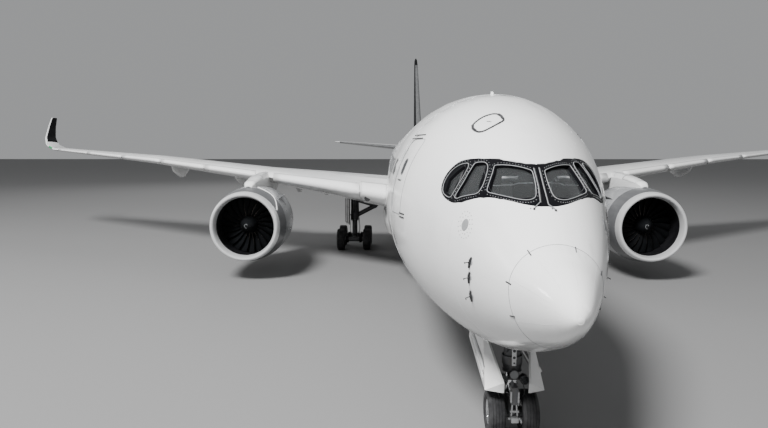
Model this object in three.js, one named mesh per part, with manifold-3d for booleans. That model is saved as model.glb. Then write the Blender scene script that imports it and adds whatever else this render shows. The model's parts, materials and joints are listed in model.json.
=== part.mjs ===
// A twin-engined wide-body airliner standing on its landing gear, as a half-size model.
// The nose points to -Y, +X is the aircraft's left side, +Z is up and the ground is z = 0.
import * as THREE from "three";
import { mergeVertices } from "three/addons/utils/BufferGeometryUtils.js";
import Module from "manifold-3d";

const wasm = await Module();
wasm.setup();

// Scale: millimetres of the half-size model for one metre of the full-size aircraft.
const METRE = 500;

// Driving dimensions, in metres of the full-size aircraft. A station is a distance aft of the nose tip.
const LENGTH = 66.8;
const SEMI_SPAN = 32.375;
const FIN_TOP = 17.05;
const BODY_HALF_WIDTH = 2.98;
const BODY_CENTRE_Z = 5.12;
const RADOME_STATION = 1.4;
const NOSE_GEAR_STATION = 5.0;
const MAIN_GEAR_STATION = 33.2;
const MAIN_GEAR_X = 5.3;
const AXLE_SPACING = 2.04;
const ENGINE_X = 10.2;
const ENGINE_Z = 2.82;
const INLET_STATION = 21.5;

// Clearances, in millimetres of the model.
const SEAT_GAP = 0.4;
const RUNNING_GAP = 7;

const FULL_TURN = Math.PI * 2;

// Colours and finishes of the materials.
const finish = (color, roughness, metalness) =>
  new THREE.MeshStandardMaterial({ color, roughness, metalness });
const WHITE_PAINT = finish(0xe9eaea, 0.28, 0);
const DARK_PAINT = finish(0x17181a, 0.3, 0);
const GREY_PAINT = finish(0x8b8f94, 0.35, 0);
const COWL_PAINT = finish(0x5c6066, 0.35, 0);
const LIP_METAL = finish(0xc9ccd0, 0.22, 1);
const HOT_METAL = finish(0x6f6a66, 0.4, 1);
const FAN_METAL = finish(0x3c3f44, 0.35, 1);
const GEAR_METAL = finish(0xb9bcc0, 0.4, 0.6);
const GLASS = finish(0x14181c, 0.08, 0);
const RUBBER = finish(0x1c1c1d, 0.85, 0);

const airliner = new THREE.Group();

// Turns full-size metres (x, station, z) into a point of the model.
function place(x, station, z) {
  return new THREE.Vector3(x * METRE, (station - LENGTH / 2) * METRE, z * METRE);
}

// A closed three.js geometry becomes a solid, turned the right way out.
function solidOf(geometry) {
  const bare = new THREE.BufferGeometry();
  bare.setAttribute("position", geometry.getAttribute("position"));
  if (geometry.index) bare.setIndex(geometry.index);
  const merged = mergeVertices(bare, 1e-3);
  const corners = merged.index.array;
  const kept = [];
  for (let i = 0; i < corners.length; i += 3) {
    const [a, b, c] = [corners[i], corners[i + 1], corners[i + 2]];
    if (a !== b && b !== c && c !== a) kept.push(a, b, c);
  }
  const vertProperties = new Float32Array(merged.attributes.position.array);
  const build = (triVerts) =>
    new wasm.Manifold(new wasm.Mesh({ numProp: 3, vertProperties, triVerts }));
  const made = build(new Uint32Array(kept));
  return made.volume() >= 0 ? made : build(new Uint32Array(kept).reverse());
}

// Adds a solid to the aircraft as a named mesh.
function addPiece(name, solid, material) {
  const made = solid.getMesh();
  const positions = new Float32Array(made.numVert * 3);
  for (let i = 0; i < made.numVert; i++) {
    const start = i * made.numProp;
    positions.set(made.vertProperties.subarray(start, start + 3), i * 3);
  }
  const geometry = new THREE.BufferGeometry();
  geometry.setAttribute("position", new THREE.BufferAttribute(positions, 3));
  geometry.setIndex(new THREE.BufferAttribute(made.triVerts, 1));
  geometry.computeVertexNormals();
  const mesh = new THREE.Mesh(geometry, material);
  mesh.name = name;
  airliner.add(mesh);
}

// Joins rings of points, each with the same count, into one closed solid with flat ends.
function loft(rings) {
  const count = rings[0].length;
  const positions = rings.flat().flatMap((p) => [p.x, p.y, p.z]);
  const index = [];
  for (let r = 0; r + 1 < rings.length; r++) {
    for (let i = 0; i < count; i++) {
      const a = r * count + i;
      const b = r * count + ((i + 1) % count);
      index.push(a, b, b + count, a, b + count, a + count);
    }
  }
  const last = (rings.length - 1) * count;
  for (let low = 0, high = count - 1; high - low > 1; ) {
    index.push(low, high, low + 1, last + low, last + low + 1, last + high);
    low += 1;
    if (high - low < 2) break;
    index.push(low, high, high - 1, last + low, last + high - 1, last + high);
    high -= 1;
  }
  const geometry = new THREE.BufferGeometry();
  geometry.setAttribute("position", new THREE.Float32BufferAttribute(positions, 3));
  geometry.setIndex(index);
  return solidOf(geometry);
}

// Reads one column of a table of rows at a value of its first column, on a smooth curve.
function smoothAt(rows, column, at) {
  const last = rows.length - 1;
  let k = 0;
  while (k < last - 1 && rows[k + 1][0] < at) k += 1;
  const slope = (i) => {
    const before = rows[Math.max(i - 1, 0)];
    const after = rows[Math.min(i + 1, last)];
    return (after[column] - before[column]) / (after[0] - before[0]);
  };
  const width = rows[k + 1][0] - rows[k][0];
  const t = Math.min(Math.max((at - rows[k][0]) / width, 0), 1);
  const flat = rows[k][column] === rows[k + 1][column];
  const [m0, m1] = flat ? [0, 0] : [slope(k) * width, slope(k + 1) * width];
  const [p0, p1] = [rows[k][column], rows[k + 1][column]];
  const [t2, t3] = [t * t, t * t * t];
  return (
    (2 * t3 - 3 * t2 + 1) * p0 + (t3 - 2 * t2 + t) * m0 + (3 * t2 - 2 * t3) * p1 + (t3 - t2) * m1
  );
}

// Short names for moving a solid and for making it the same on both sides of the middle plane.
const shifted = (solid, x, y, z) => solid.translate([x, y, z]);
const mirrored = (solid) => solid.mirror([1, 0, 0]);
const evened = (solid) => solid.add(mirrored(solid));

// A box from its lowest to its highest corner, in full-size metres.
function boxBetween(low, high) {
  const a = place(...low);
  const b = place(...high);
  const size = b.clone().sub(a);
  const geometry = new THREE.BoxGeometry(size.x, size.y, size.z);
  geometry.translate((a.x + b.x) / 2, (a.y + b.y) / 2, (a.z + b.z) / 2);
  return solidOf(geometry);
}

// A round bar between two points in full-size metres.
function bar(from, to, radius, sides = 12, endRadius = radius) {
  const a = place(...from);
  const b = place(...to);
  const length = a.distanceTo(b);
  const geometry = new THREE.CylinderGeometry(endRadius * METRE, radius * METRE, length, sides);
  const up = new THREE.Vector3(0, 1, 0);
  const turn = new THREE.Quaternion().setFromUnitVectors(up, b.clone().sub(a).normalize());
  geometry.applyQuaternion(turn);
  const middle = a.add(b).multiplyScalar(0.5);
  geometry.translate(middle.x, middle.y, middle.z);
  return solidOf(geometry);
}

// A turned solid about the line through (x, z) along Y. The profile is [radius, station] in metres.
function turnedAlongBody(profile, x, z, sides) {
  const points = profile.map(
    ([radius, station]) => new THREE.Vector2(radius * METRE, (station - LENGTH / 2) * METRE),
  );
  const geometry = new THREE.LatheGeometry(points, sides);
  geometry.translate(x * METRE, 0, z * METRE);
  return solidOf(geometry);
}

// A turned solid about an axle along X. The profile is [radius, distance along the axle].
function turnedOnAxle(profile, x, station, z, sides) {
  const points = profile.map(([radius, along]) => new THREE.Vector2(radius * METRE, along * METRE));
  const geometry = new THREE.LatheGeometry(points, sides, Math.PI / sides);
  geometry.rotateZ(-Math.PI / 2);
  const centre = place(x, station, z);
  geometry.translate(centre.x, centre.y, centre.z);
  return solidOf(geometry);
}

const joined = (solids) => solids.reduce((sum, solid) => sum.add(solid));

// Fuselage sections: station, half width, crown z, keel z, z of the widest point.
const BODY_SECTIONS = [
  [0.0, 0.06, 4.18, 4.05, 4.12],
  [0.1, 0.18, 4.33, 3.93, 4.14],
  [0.3, 0.31, 4.49, 3.77, 4.18],
  [0.7, 0.5, 4.73, 3.54, 4.24],
  [1.4, 0.81, 5.05, 3.23, 4.3],
  [2.1, 1.11, 5.62, 2.95, 4.38],
  [3.0, 1.45, 6.33, 2.64, 4.5],
  [4.0, 1.8, 6.88, 2.36, 4.68],
  [5.0, 2.12, 7.35, 2.15, 4.85],
  [6.0, 2.43, 7.71, 2.05, 4.94],
  [7.0, 2.68, 7.98, 2.02, 5.0],
  [8.0, 2.85, 8.15, 2.02, 5.05],
  [9.5, 2.96, 8.26, 2.02, 5.1],
  [11.0, BODY_HALF_WIDTH, 8.29, 2.02, BODY_CENTRE_Z],
  [46.0, BODY_HALF_WIDTH, 8.29, 2.02, BODY_CENTRE_Z],
  [48.5, 2.93, 8.28, 2.25, 5.18],
  [52.0, 2.72, 8.21, 3.0, 5.5],
  [56.0, 2.28, 8.06, 4.1, 6.0],
  [60.0, 1.7, 7.87, 5.2, 6.45],
  [63.5, 1.1, 7.68, 6.05, 6.8],
  [65.8, 0.62, 7.48, 6.42, 6.93],
  [66.8, 0.45, 7.35, 6.45, 6.9],
];
const BODY_POINTS = 32;

// One ring of the fuselage, two half ellipses that meet at the widest point, grown by millimetres.
function bodyRing(station, grown = 0) {
  const [halfWidth, crown, keel, waist] = [1, 2, 3, 4].map((column) =>
    smoothAt(BODY_SECTIONS, column, station),
  );
  const extra = grown / METRE;
  const ring = [];
  for (let i = 0; i < BODY_POINTS; i++) {
    const angle = (i / BODY_POINTS) * FULL_TURN + Math.PI / 2;
    const height = (Math.sin(angle) >= 0 ? crown - waist : waist - keel) + extra;
    const x = (halfWidth + extra) * Math.cos(angle);
    ring.push(place(x, station, waist + height * Math.sin(angle)));
  }
  return ring;
}

const bodyBetween = (stations, grown = 0) => loft(stations.map((s) => bodyRing(s, grown)));

const SEAM = SEAT_GAP / METRE;
const RADOME_RINGS = [0, 0.05, 0.14, 0.3, 0.58, 0.95, RADOME_STATION];
const NOSE_END = 11;
const BARREL_END = 46;
const CONE_STATION = 65.8;
const NOSE_RINGS = [
  RADOME_STATION + SEAM, 2.1, 2.6, 3.1, 3.7, 4.4, 5.2, 6.2, 7.4, 9.0, NOSE_END,
];
const TAIL_RINGS = [BARREL_END + SEAM, 48.5, 51, 54, 57.5, 61, 63.5, CONE_STATION];
const ALL_BODY_RINGS = [
  ...NOSE_RINGS.slice(0, -1), NOSE_END, BARREL_END, ...TAIL_RINGS.slice(1), LENGTH,
];
const wholeBodyGrown = evened(bodyBetween(ALL_BODY_RINGS, SEAT_GAP));

// A prism whose sides run from one scaled copy of a patch of the fuselage skin to another.
// The patch is a list of [station, angle from the crown in degrees].
function skinPrism(patch, inner, outer) {
  const ringAt = (scale) =>
    patch.map(([station, degrees]) => {
      const [halfWidth, crown, keel, waist] = [1, 2, 3, 4].map((column) =>
        smoothAt(BODY_SECTIONS, column, station),
      );
      const angle = Math.PI / 2 - (degrees * Math.PI) / 180;
      const height = Math.sin(angle) >= 0 ? crown - waist : waist - keel;
      const [across, up] = [halfWidth * Math.cos(angle), height * Math.sin(angle)];
      return place(scale * across, station, waist + scale * up);
    });
  return loft([ringAt(inner), ringAt(outer)]);
}

// Wing sections of the left wing: x, leading edge station, chord, z, thickness ratio, cant in degrees.
const WING_SECTIONS = [
  [1.6, 21.0, 14.5, 4.25, 0.125, 0],
  [2.9, 21.9, 13.6, 4.35, 0.125, 0],
  [6.5, 24.4, 10.95, 4.76, 0.118, 0],
  [10.3, 27.0, 8.2, 5.15, 0.11, 0],
  [19.4, 33.5, 5.6, 6.0, 0.105, 0],
  [27.0, 38.85, 3.4, 6.52, 0.1, 2],
  [30.3, 41.15, 2.5, 6.75, 0.1, 10],
  [31.35, 42.1, 2.05, 7.1, 0.1, 34],
  [31.95, 43.1, 1.65, 7.7, 0.1, 58],
  [32.26, 44.2, 1.2, 8.6, 0.1, 77],
  [SEMI_SPAN - 0.05, 44.95, 0.85, 9.5, 0.1, 86],
];
const FOIL_STEPS = 8;
const TRAILING_HALF = 0.009;

// The outline of an aerofoil: pairs of distance along the chord and half thickness, nose to tail.
function foilHalf(chord, ratio, grown) {
  const rows = [];
  for (let i = 0; i <= FOIL_STEPS; i++) {
    const t = (1 - Math.cos((i / FOIL_STEPS) * Math.PI)) / 2;
    const shape =
      0.2969 * Math.sqrt(t) - 0.126 * t - 0.3516 * t ** 2 + 0.2843 * t ** 3 - 0.1036 * t ** 4;
    const half = 5 * ratio * chord * shape + TRAILING_HALF * Math.sqrt(t) + grown;
    rows.push([t * (chord + 2 * grown) - grown, i === 0 ? grown * 0.6 + 0.002 : half]);
  }
  return rows;
}

// A ring of one aerofoil; across is the direction of its thickness.
function foilRing(origin, chord, ratio, across, grown = 0) {
  const extra = grown / METRE;
  const rows = foilHalf(chord, ratio, extra);
  const at = ([along, half], side) =>
    place(
      origin[0] + side * half * across[0],
      origin[1] + along,
      origin[2] + side * half * across[2],
    );
  return [...rows.map((row) => at(row, 1)), ...rows.reverse().map((row) => at(row, -1))];
}

function foilLoft(sections, grown = 0) {
  return loft(
    sections.map(([x, leading, chord, z, ratio, cant]) => {
      const angle = (cant * Math.PI) / 180;
      const across = [-Math.sin(angle), 0, Math.cos(angle)];
      return foilRing([x, leading, z], chord, ratio, across, grown);
    }),
  );
}

// Reads a table of aerofoil sections at a value of one of its columns.
function sectionAt(sections, column, at) {
  const x = (row) => row[column];
  let k = 0;
  while (k < sections.length - 2 && x(sections[k + 1]) < at) k += 1;
  const t = (at - x(sections[k])) / (x(sections[k + 1]) - x(sections[k]));
  return sections[k].map((value, c) => value + t * (sections[k + 1][c] - value));
}

// The point on the chord of a section at a share of it, with the half thickness there.
function chordPoint(sections, column, at, share) {
  const [x, leading, chord, z, ratio] = sectionAt(sections, column, at);
  const shape =
    0.2969 * Math.sqrt(share) - 0.126 * share - 0.3516 * share ** 2 + 0.2843 * share ** 3 -
    0.1036 * share ** 4;
  const half = 5 * ratio * chord * shape + TRAILING_HALF * Math.sqrt(share);
  return { point: [x, leading + share * chord, z], half };
}

// The frame of a hinge: its start, its direction u, w towards the rear and v across both.
function hingeFrame(from, to, upHint) {
  const start = place(...from);
  const end = place(...to);
  const u = end.clone().sub(start).normalize();
  const v = upHint.clone().addScaledVector(u, -upHint.dot(u)).normalize();
  const w = new THREE.Vector3(0, 1, 0);
  w.addScaledVector(u, -w.dot(u)).addScaledVector(v, -w.dot(v)).normalize();
  const right = new THREE.Vector3().crossVectors(u, w).dot(v) > 0 ? 1 : -1;
  const matrix = new THREE.Matrix4().makeBasis(u.clone().multiplyScalar(right), w, v);
  matrix.setPosition(start);
  return { matrix, length: start.distanceTo(end), right };
}

// The same hinge with its surface let down by an angle.
function turnedFrame(frame, degrees) {
  const turn = new THREE.Matrix4().makeRotationX(THREE.MathUtils.degToRad(degrees));
  return { ...frame, matrix: frame.matrix.clone().multiply(turn) };
}

// A box in the frame of a hinge, from low to high in millimetres along u, w and v.
function hingeBox(frame, low, high) {
  const [u0, u1] = frame.right > 0 ? [low[0], high[0]] : [-high[0], -low[0]];
  const geometry = new THREE.BoxGeometry(u1 - u0, high[1] - low[1], high[2] - low[2]);
  geometry.translate((u0 + u1) / 2, (low[1] + high[1]) / 2, (low[2] + high[2]) / 2);
  geometry.applyMatrix4(frame.matrix);
  return solidOf(geometry);
}

// A round cone along the hinge line, from distance u0 to u1 with radius r0 and r1 in millimetres.
function hingeCone(frame, u0, u1, r0, r1, sides) {
  const geometry = new THREE.CylinderGeometry(r1, r0, u1 - u0, sides);
  geometry.translate(0, (u0 + u1) / 2, 0);
  geometry.rotateZ(-Math.PI / 2);
  if (frame.right < 0) geometry.rotateY(Math.PI);
  geometry.applyMatrix4(frame.matrix);
  return solidOf(geometry);
}

const FAR = 4000;
const HINGE_GAP = 9;
const STUB_RADIUS = 14;

// Cuts a surface hinged through the middle of its thickness; returns the rest and the surface.
function cutHinged(host, sections, column, [a, b], share, upHint) {
  const near = chordPoint(sections, column, a, share);
  const far = chordPoint(sections, column, b, share);
  const frame = hingeFrame(near.point, far.point, upHint);
  const length = frame.length;
  const [r0, r1] = [near.half * METRE, far.half * METRE];
  const reach = [FAR, FAR];
  const nose = hingeCone(frame, 0, length, r0, r1, 16);
  const aft = host.intersect(hingeBox(frame, [0, 0, -FAR], [length, ...reach]));
  const slope = (r1 - r0) / length;
  const [g, ends] = [HINGE_GAP, HINGE_GAP + 1];
  const noseCut = hingeCone(
    frame, -ends, length + ends, r0 + g - slope * ends, r1 + g + slope * ends, 16,
  );
  const aftCut = hingeBox(frame, [-ends, 0, -FAR], [length + ends, ...reach]);
  const pin = hingeCone(
    frame, SEAT_GAP - ends, length + ends - SEAT_GAP, STUB_RADIUS, STUB_RADIUS, 6,
  );
  return { rest: host.subtract(noseCut).subtract(aftCut), surface: aft.add(nose).add(pin), frame };
}

// Flaps: x of both ends, stations of the cut at both ends, x of the track fairings.
const FLAPS = [
  { key: "inboard", span: [3.75, 9.9], line: [33.78, 33.78], tracks: [7.25, 9.1] },
  { key: "outboard", span: [10.9, 20.6], line: [33.55, 38.3], tracks: [13.2, 18.4] },
];
// The hinge line lies this far under the chord and ahead of the cut, in metres.
const DROP = 1.05;
const FRONT = 0.2;
const FLAP_TRAVEL = 35;
const TRACK_HALF = 0.24;
const LUG_HALF = 0.07;
const LUG_RADIUS = 0.15;
const PIN_RADIUS = 0.06;
const PIN_GAP = 3;

// The canoe-shaped fairing under a wing that carries one hinge of a flap.
function trackFairing(x, hingeStation, hingeZ, wingZ, rear) {
  const front = hingeStation - 2.3;
  const rows = [
    [front, 0.06, wingZ - 0.1, wingZ - 0.35],
    [front + 0.6, 0.8, wingZ, hingeZ + 0.25],
    [hingeStation - 0.2, 1, wingZ, hingeZ - 0.22],
    [rear - 0.7, 0.75, wingZ, hingeZ + 0.1],
    [rear + 0.5, 0.08, wingZ - 0.25, wingZ - 0.45],
  ];
  return loft(
    rows.map(([station, share, top, bottom]) => {
      const half = TRACK_HALF * share;
      const rim = [];
      for (let i = 0; i < 8; i++) {
        const angle = (i / 8) * FULL_TURN + Math.PI / 8;
        const [c, s] = [Math.cos(angle), Math.sin(angle)];
        const squareness = (value) => Math.sign(value) * Math.abs(value) ** 0.7;
        const middle = (top + bottom) / 2;
        rim.push(
          place(x + half * squareness(c), station, middle + ((top - bottom) / 2) * squareness(s)),
        );
      }
      return rim;
    }),
  );
}

// Builds the left wing with its flaps and aileron.
const UP = new THREE.Vector3(0, 0, 1);
const SIDE = new THREE.Vector3(1, 0, 0);
let wing = foilLoft(WING_SECTIONS);
const flapFrames = FLAPS.map((flap) => {
  const ends = flap.span.map((x, i) => {
    const z = sectionAt(WING_SECTIONS, 0, x)[3];
    return [x, flap.line[i] - FRONT, z - DROP];
  });
  return hingeFrame(ends[0], ends[1], UP);
});
const flapSolids = [];
for (const flap of FLAPS) {
  for (const x of flap.tracks) {
    const t = (x - flap.span[0]) / (flap.span[1] - flap.span[0]);
    const station = flap.line[0] + t * (flap.line[1] - flap.line[0]) - FRONT;
    const [, leading, chord, z] = sectionAt(WING_SECTIONS, 0, x);
    wing = wing.add(trackFairing(x, station, z - DROP, z, leading + chord));
  }
}
FLAPS.forEach((flap, index) => {
  const frame = flapFrames[index];
  const [front, gap] = [FRONT * METRE, RUNNING_GAP];
  const lowered = turnedFrame(frame, FLAP_TRAVEL);
  let surface = wing
    .intersect(hingeBox(frame, [0, front, -FAR], [frame.length, FAR, FAR]))
    .subtract(hingeBox(lowered, [-gap, -FAR, -FAR], [frame.length + gap, front, 0]));
  wing = wing.subtract(
    hingeBox(frame, [-gap, front - gap, -FAR], [frame.length + gap, FAR, FAR]),
  );
  for (const x of flap.tracks) {
    const along = ((x - flap.span[0]) / (flap.span[1] - flap.span[0])) * frame.length;
    const [half, radius] = [LUG_HALF * METRE, LUG_RADIUS * METRE];
    const pin = PIN_RADIUS * METRE;
    const slot = hingeBox(
      frame, [along - half - gap, -radius - gap, -FAR], [along + half + gap, FAR, radius + gap],
    );
    const boss = half + gap - SEAT_GAP;
    const lug = hingeCone(frame, along - half, along + half, radius, radius, 8)
      .add(hingeCone(frame, along - boss, along + boss, pin + 18, pin + 18, 8))
      .add(
        hingeBox(frame, [along - half, 0, -radius * 0.8], [along + half, front + 40, radius * 0.8]),
      )
      .subtract(
        hingeCone(frame, along - boss - 5, along + boss + 5, pin + PIN_GAP, pin + PIN_GAP, 8),
      );
    const bolt = hingeCone(frame, along - half - gap - 15, along + half + gap + 15, pin, pin, 8);
    wing = wing.subtract(slot).add(bolt);
    surface = surface.add(lug);
  }
  flapSolids.push(surface);
});
const AILERON_SPAN = [21.6, 28.6];
const AILERON_SHARE = 0.74;
const aileronCut = cutHinged(wing, WING_SECTIONS, 0, AILERON_SPAN, AILERON_SHARE, UP);
wing = aileronCut.rest;

// Jacking pad under the wing.
const PAD_POINT = [12.9, 31.2];
const padZ = sectionAt(WING_SECTIONS, 0, PAD_POINT[0])[3];
wing = wing.add(bar([...PAD_POINT, padZ - 0.58], [...PAD_POINT, padZ], 0.12, 12));
wing = wing.subtract(wholeBodyGrown);
const wingGrown = foilLoft(WING_SECTIONS, SEAT_GAP);

// Belly fairing: station, half width, top z, bottom z.
const FAIRING_SECTIONS = [
  [18.0, 1.3, 3.2, 2.25],
  [20.0, 2.45, 3.9, 1.86],
  [22.5, 3.05, 4.3, 1.68],
  [26.0, 3.28, 4.5, 1.62],
  [32.0, 3.28, 4.5, 1.62],
  [35.5, 3.18, 4.35, 1.66],
  [38.5, 2.6, 3.9, 1.85],
  [41.5, 1.3, 3.2, 2.25],
];
const fairingRing = ([station, half, top, bottom], grown) => {
  const ring = [];
  for (let i = 0; i < 20; i++) {
    const angle = (i / 20) * FULL_TURN;
    const soft = (value) => Math.sign(value) * Math.abs(value) ** 0.72;
    const [c, s] = [soft(Math.cos(angle)), soft(Math.sin(angle))];
    const extra = grown / METRE;
    ring.push(
      place((half + extra) * c, station, (top + bottom) / 2 + ((top - bottom) / 2 + extra) * s),
    );
  }
  return ring;
};
const fairingLoft = (grown) => loft(FAIRING_SECTIONS.map((row) => fairingRing(row, grown)));
const fairing = fairingLoft(0)
  .subtract(wholeBodyGrown)
  .subtract(wingGrown)
  .subtract(mirrored(wingGrown));
const fairingGrown = evened(fairingLoft(SEAT_GAP));
wing = wing.subtract(boxBetween([0, 15, 0], [1.2, 45, 12]));
addPiece("belly_fairing", fairing, WHITE_PAINT);

// Nose section with the open well of the nose gear.
const WELL_HALF = 0.66;
const WELL_LOW = [-WELL_HALF, 4.15, 0];
const WELL_HIGH = [WELL_HALF, 8.25, 3.2];
let nose = bodyBetween(NOSE_RINGS).subtract(boxBetween(WELL_LOW, WELL_HIGH));

// The windscreen. Patches of the skin are corners of [station, angle from the crown in degrees].
const PANES = [
  [[2.3, 7], [2.45, 26], [2.94, 41.5], [3.4, 27.3], [2.89, 4.3]],
  [[3.16, 47], [3.74, 61], [3.92, 38.5], [3.62, 31.5]],
  [[3.9, 61.5], [4.24, 62.5], [4.31, 56], [4.2, 48], [4.06, 42]],
];
const MASK = [
  [[2.12, -1], [2.28, 19.6], [3.38, 20.4], [3.04, -1]],
  [[2.28, 19], [2.76, 40.8], [3.9, 33.7], [3.38, 20]],
  [[2.76, 40.4], [3.02, 48.4], [3.69, 63.1], [4.18, 41.4], [3.9, 33]],
  [[3.68, 62.6], [4.2, 65.2], [4.41, 63.6], [4.47, 54.8], [4.18, 41]],
];
const BAND_DEPTH = 30;
const GLASS_DEPTH = 14;
const bothSides = (patches) => evened(joined(patches.map((patch) => skinPrism(patch, 0.7, 1.14))));
const skinDown = (depth) => bodyBetween(NOSE_RINGS, -depth);
const widened = (patch) => {
  const middle = [0, 1].map((c) => patch.reduce((sum, p) => sum + p[c], 0) / patch.length);
  return patch.map((p) => p.map((value, c) => value + (value - middle[c]) * 0.004));
};
const maskPrism = bothSides(MASK);
const panePrism = bothSides(PANES);
const maskInside = maskPrism.intersect(bodyBetween(NOSE_RINGS));
const pocket = bothSides(MASK.map(widened)).subtract(
  skinDown(BAND_DEPTH + GLASS_DEPTH + 2 * SEAT_GAP),
);
const band = maskInside.subtract(skinDown(BAND_DEPTH)).subtract(panePrism);
const glass = maskInside
  .subtract(skinDown(BAND_DEPTH + GLASS_DEPTH))
  .intersect(skinDown(BAND_DEPTH + SEAT_GAP));
// Room of the flight deck: station, half width of the floor, top z.
const ROOM_SECTIONS = [[2.45, 0.8, 5.6], [3.1, 1.08, 6.05], [4.4, 1.5, 6.7], [5.6, 1.7, 6.9]];
const ROOM_FLOOR = 5.1;
const flightDeckRoom = loft(
  ROOM_SECTIONS.map(([station, half, top]) =>
    [0, 30, 60, 90, 120, 150, 180].map((degrees) => {
      const angle = (degrees * Math.PI) / 180;
      const up = ROOM_FLOOR + (top - ROOM_FLOOR) * Math.sin(angle);
      return place(half * Math.cos(angle), station, up);
    }),
  ),
);
nose = nose.subtract(pocket).subtract(flightDeckRoom).subtract(panePrism);
const flightDeck = boxBetween([-0.62, 2.9, 5.1 + SEAM], [0.62, 5.2, 5.16])
  .add(boxBetween([-0.62, 2.9, 5.12], [0.62, 3.2, 5.66]))
  .add(boxBetween([-0.16, 3.1, 5.12], [0.16, 4.2, 5.42]))
  .add(boxBetween([-0.6, 3.7, 5.12], [-0.24, 4.1, 5.45]))
  .add(boxBetween([0.24, 3.7, 5.12], [0.6, 4.1, 5.45]))
  .add(boxBetween([-0.58, 4.05, 5.12], [-0.26, 4.2, 5.95]))
  .add(boxBetween([0.26, 4.05, 5.12], [0.58, 4.2, 5.95]));

addPiece("radome", bodyBetween(RADOME_RINGS), WHITE_PAINT);
addPiece("nose_section", nose, WHITE_PAINT);
addPiece("windscreen_frame", band, DARK_PAINT);
addPiece("windscreen_glass", glass, GLASS);
addPiece("flight_deck", flightDeck, GREY_PAINT);

// Middle of the fuselage with two cargo holds behind doors on the right side.
const DOOR_TOP = 4.72;
const DOOR_LOW = 2.98;
const DOOR_DEPTH = 0.13;
const HOLDS = [
  { key: "forward", from: 13.6, to: 16.3 },
  { key: "aft", from: 42.2, to: 44.9 },
];
let barrel = bodyBetween([NOSE_END + SEAM, BARREL_END]);
const skinCore = bodyBetween([NOSE_END + SEAM, BARREL_END], -DOOR_DEPTH * METRE);
const doorGap = RUNNING_GAP / METRE;
const DOOR_TOP_GAP = 0.026;
const DOOR_AXIS = [-2.924, DOOR_TOP - 0.03];
for (const { key, from, to } of HOLDS) {
  const low = [-3.2, from, DOOR_LOW];
  const high = [-2, to, DOOR_TOP];
  const [axisX, axisZ] = DOOR_AXIS;
  const door = barrel
    .intersect(boxBetween(low, high))
    .subtract(skinCore)
    .add(
      bar([axisX, from - doorGap + SEAM, axisZ], [axisX, to + doorGap - SEAM, axisZ], 0.018, 10),
    );
  const frame = boxBetween(
    [-3.2, from - doorGap, DOOR_LOW - doorGap],
    [-0.4, to + doorGap, DOOR_TOP + DOOR_TOP_GAP],
  );
  barrel = barrel.subtract(frame);
  addPiece(`${key}_cargo_door`, door, WHITE_PAINT);
}
addPiece("fuselage", barrel, WHITE_PAINT);

// Tail: rear section, exhaust cone, fin, rudder, tailplanes and elevators.
const FIN_SECTIONS = [
  [0, 53.2, 9.9, 7.2, 0.085, 90],
  [0, 54.3, 8.75, 8.4, 0.09, 90],
  [0, 61.2, 4.1, 16.2, 0.09, 90],
  [0, 62.1, 3.35, 16.85, 0.085, 90],
  [0, 62.75, 2.6, FIN_TOP, 0.05, 90],
];
const finCut = cutHinged(foilLoft(FIN_SECTIONS), FIN_SECTIONS, 3, [9.3, 15.9], 0.68, SIDE);
addPiece("fin", finCut.rest.subtract(wholeBodyGrown), DARK_PAINT);
addPiece("rudder", finCut.surface, DARK_PAINT);

const TAIL_SECTIONS = [
  [0.35, 57.6, 6.3, 6.85, 0.1, 0],
  [1.2, 58.2, 5.75, 6.92, 0.1, 0],
  [8.9, 63.5, 2.45, 7.62, 0.09, 0],
  [9.4, 64.15, 1.85, 7.68, 0.06, 0],
];
const tailCut = cutHinged(foilLoft(TAIL_SECTIONS), TAIL_SECTIONS, 0, [1.95, 8.6], 0.69, UP);
const tailplane = tailCut.rest.subtract(wholeBodyGrown);
addPiece("tail_section", bodyBetween(TAIL_RINGS), WHITE_PAINT);
addPiece(
  "exhaust_cone",
  bodyBetween([CONE_STATION + SEAM, LENGTH]).subtract(
    bar([0, LENGTH - 0.5, 6.91], [0, LENGTH + 0.1, 6.91], 0.3, 20),
  ),
  HOT_METAL,
);

// Engine: profiles are [radius, station] about the engine's own line.
const NACELLE_SIDES = 28;
const LIP_END = INLET_STATION + 0.42;
const FAN_STATION = 22.75;
const DUCT_RADIUS = 1.53;
const COWL_END = 27.4;
const atEngine = (profile, sides = NACELLE_SIDES) =>
  turnedAlongBody(profile, ENGINE_X, ENGINE_Z, sides);
const inletLip = atEngine([
  [1.77, LIP_END], [1.71, INLET_STATION + 0.14], [1.62, INLET_STATION],
  [1.53, INLET_STATION + 0.1], [1.47, LIP_END], [1.77, LIP_END],
]);
const cowl = atEngine([
  [1.47, LIP_END + SEAM], [DUCT_RADIUS, 22.5], [DUCT_RADIUS, 23.5], [1.62, 25.0], [1.42, COWL_END],
  [1.46, COWL_END], [1.69, 26.6], [1.85, 25.5], [1.94, 23.9], [1.9, 22.7],
  [1.77, LIP_END + SEAM], [1.47, LIP_END + SEAM],
]);
const cowlEnvelope = atEngine([
  [0, LIP_END - 0.3], [1.77 + SEAM, LIP_END - 0.3], [1.77 + SEAM, LIP_END], [1.9 + SEAM, 22.7],
  [1.94 + SEAM, 23.9], [1.85 + SEAM, 25.5], [1.69 + SEAM, 26.6], [1.46 + SEAM, COWL_END],
  [0, COWL_END],
]);
const SHAFT_RADIUS = 0.16;
const BEARING_GAP = 2;
const coreProfile = [
  [0, 23.35], [0.66, 23.35], [1.0, 24.5], [1.12, 25.8], [1.02, 27.2], [0.8, 28.3],
  [0.74, 28.05], [0.56, 28.05], [0.1, 29.5], [0, 29.5],
];
const ductSolid = atEngine([
  [0, 23.5], [DUCT_RADIUS - SEAM, 23.5], [1.62 - SEAM, 25.0], [1.42 - SEAM, COWL_END], [0, COWL_END],
]);
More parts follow.
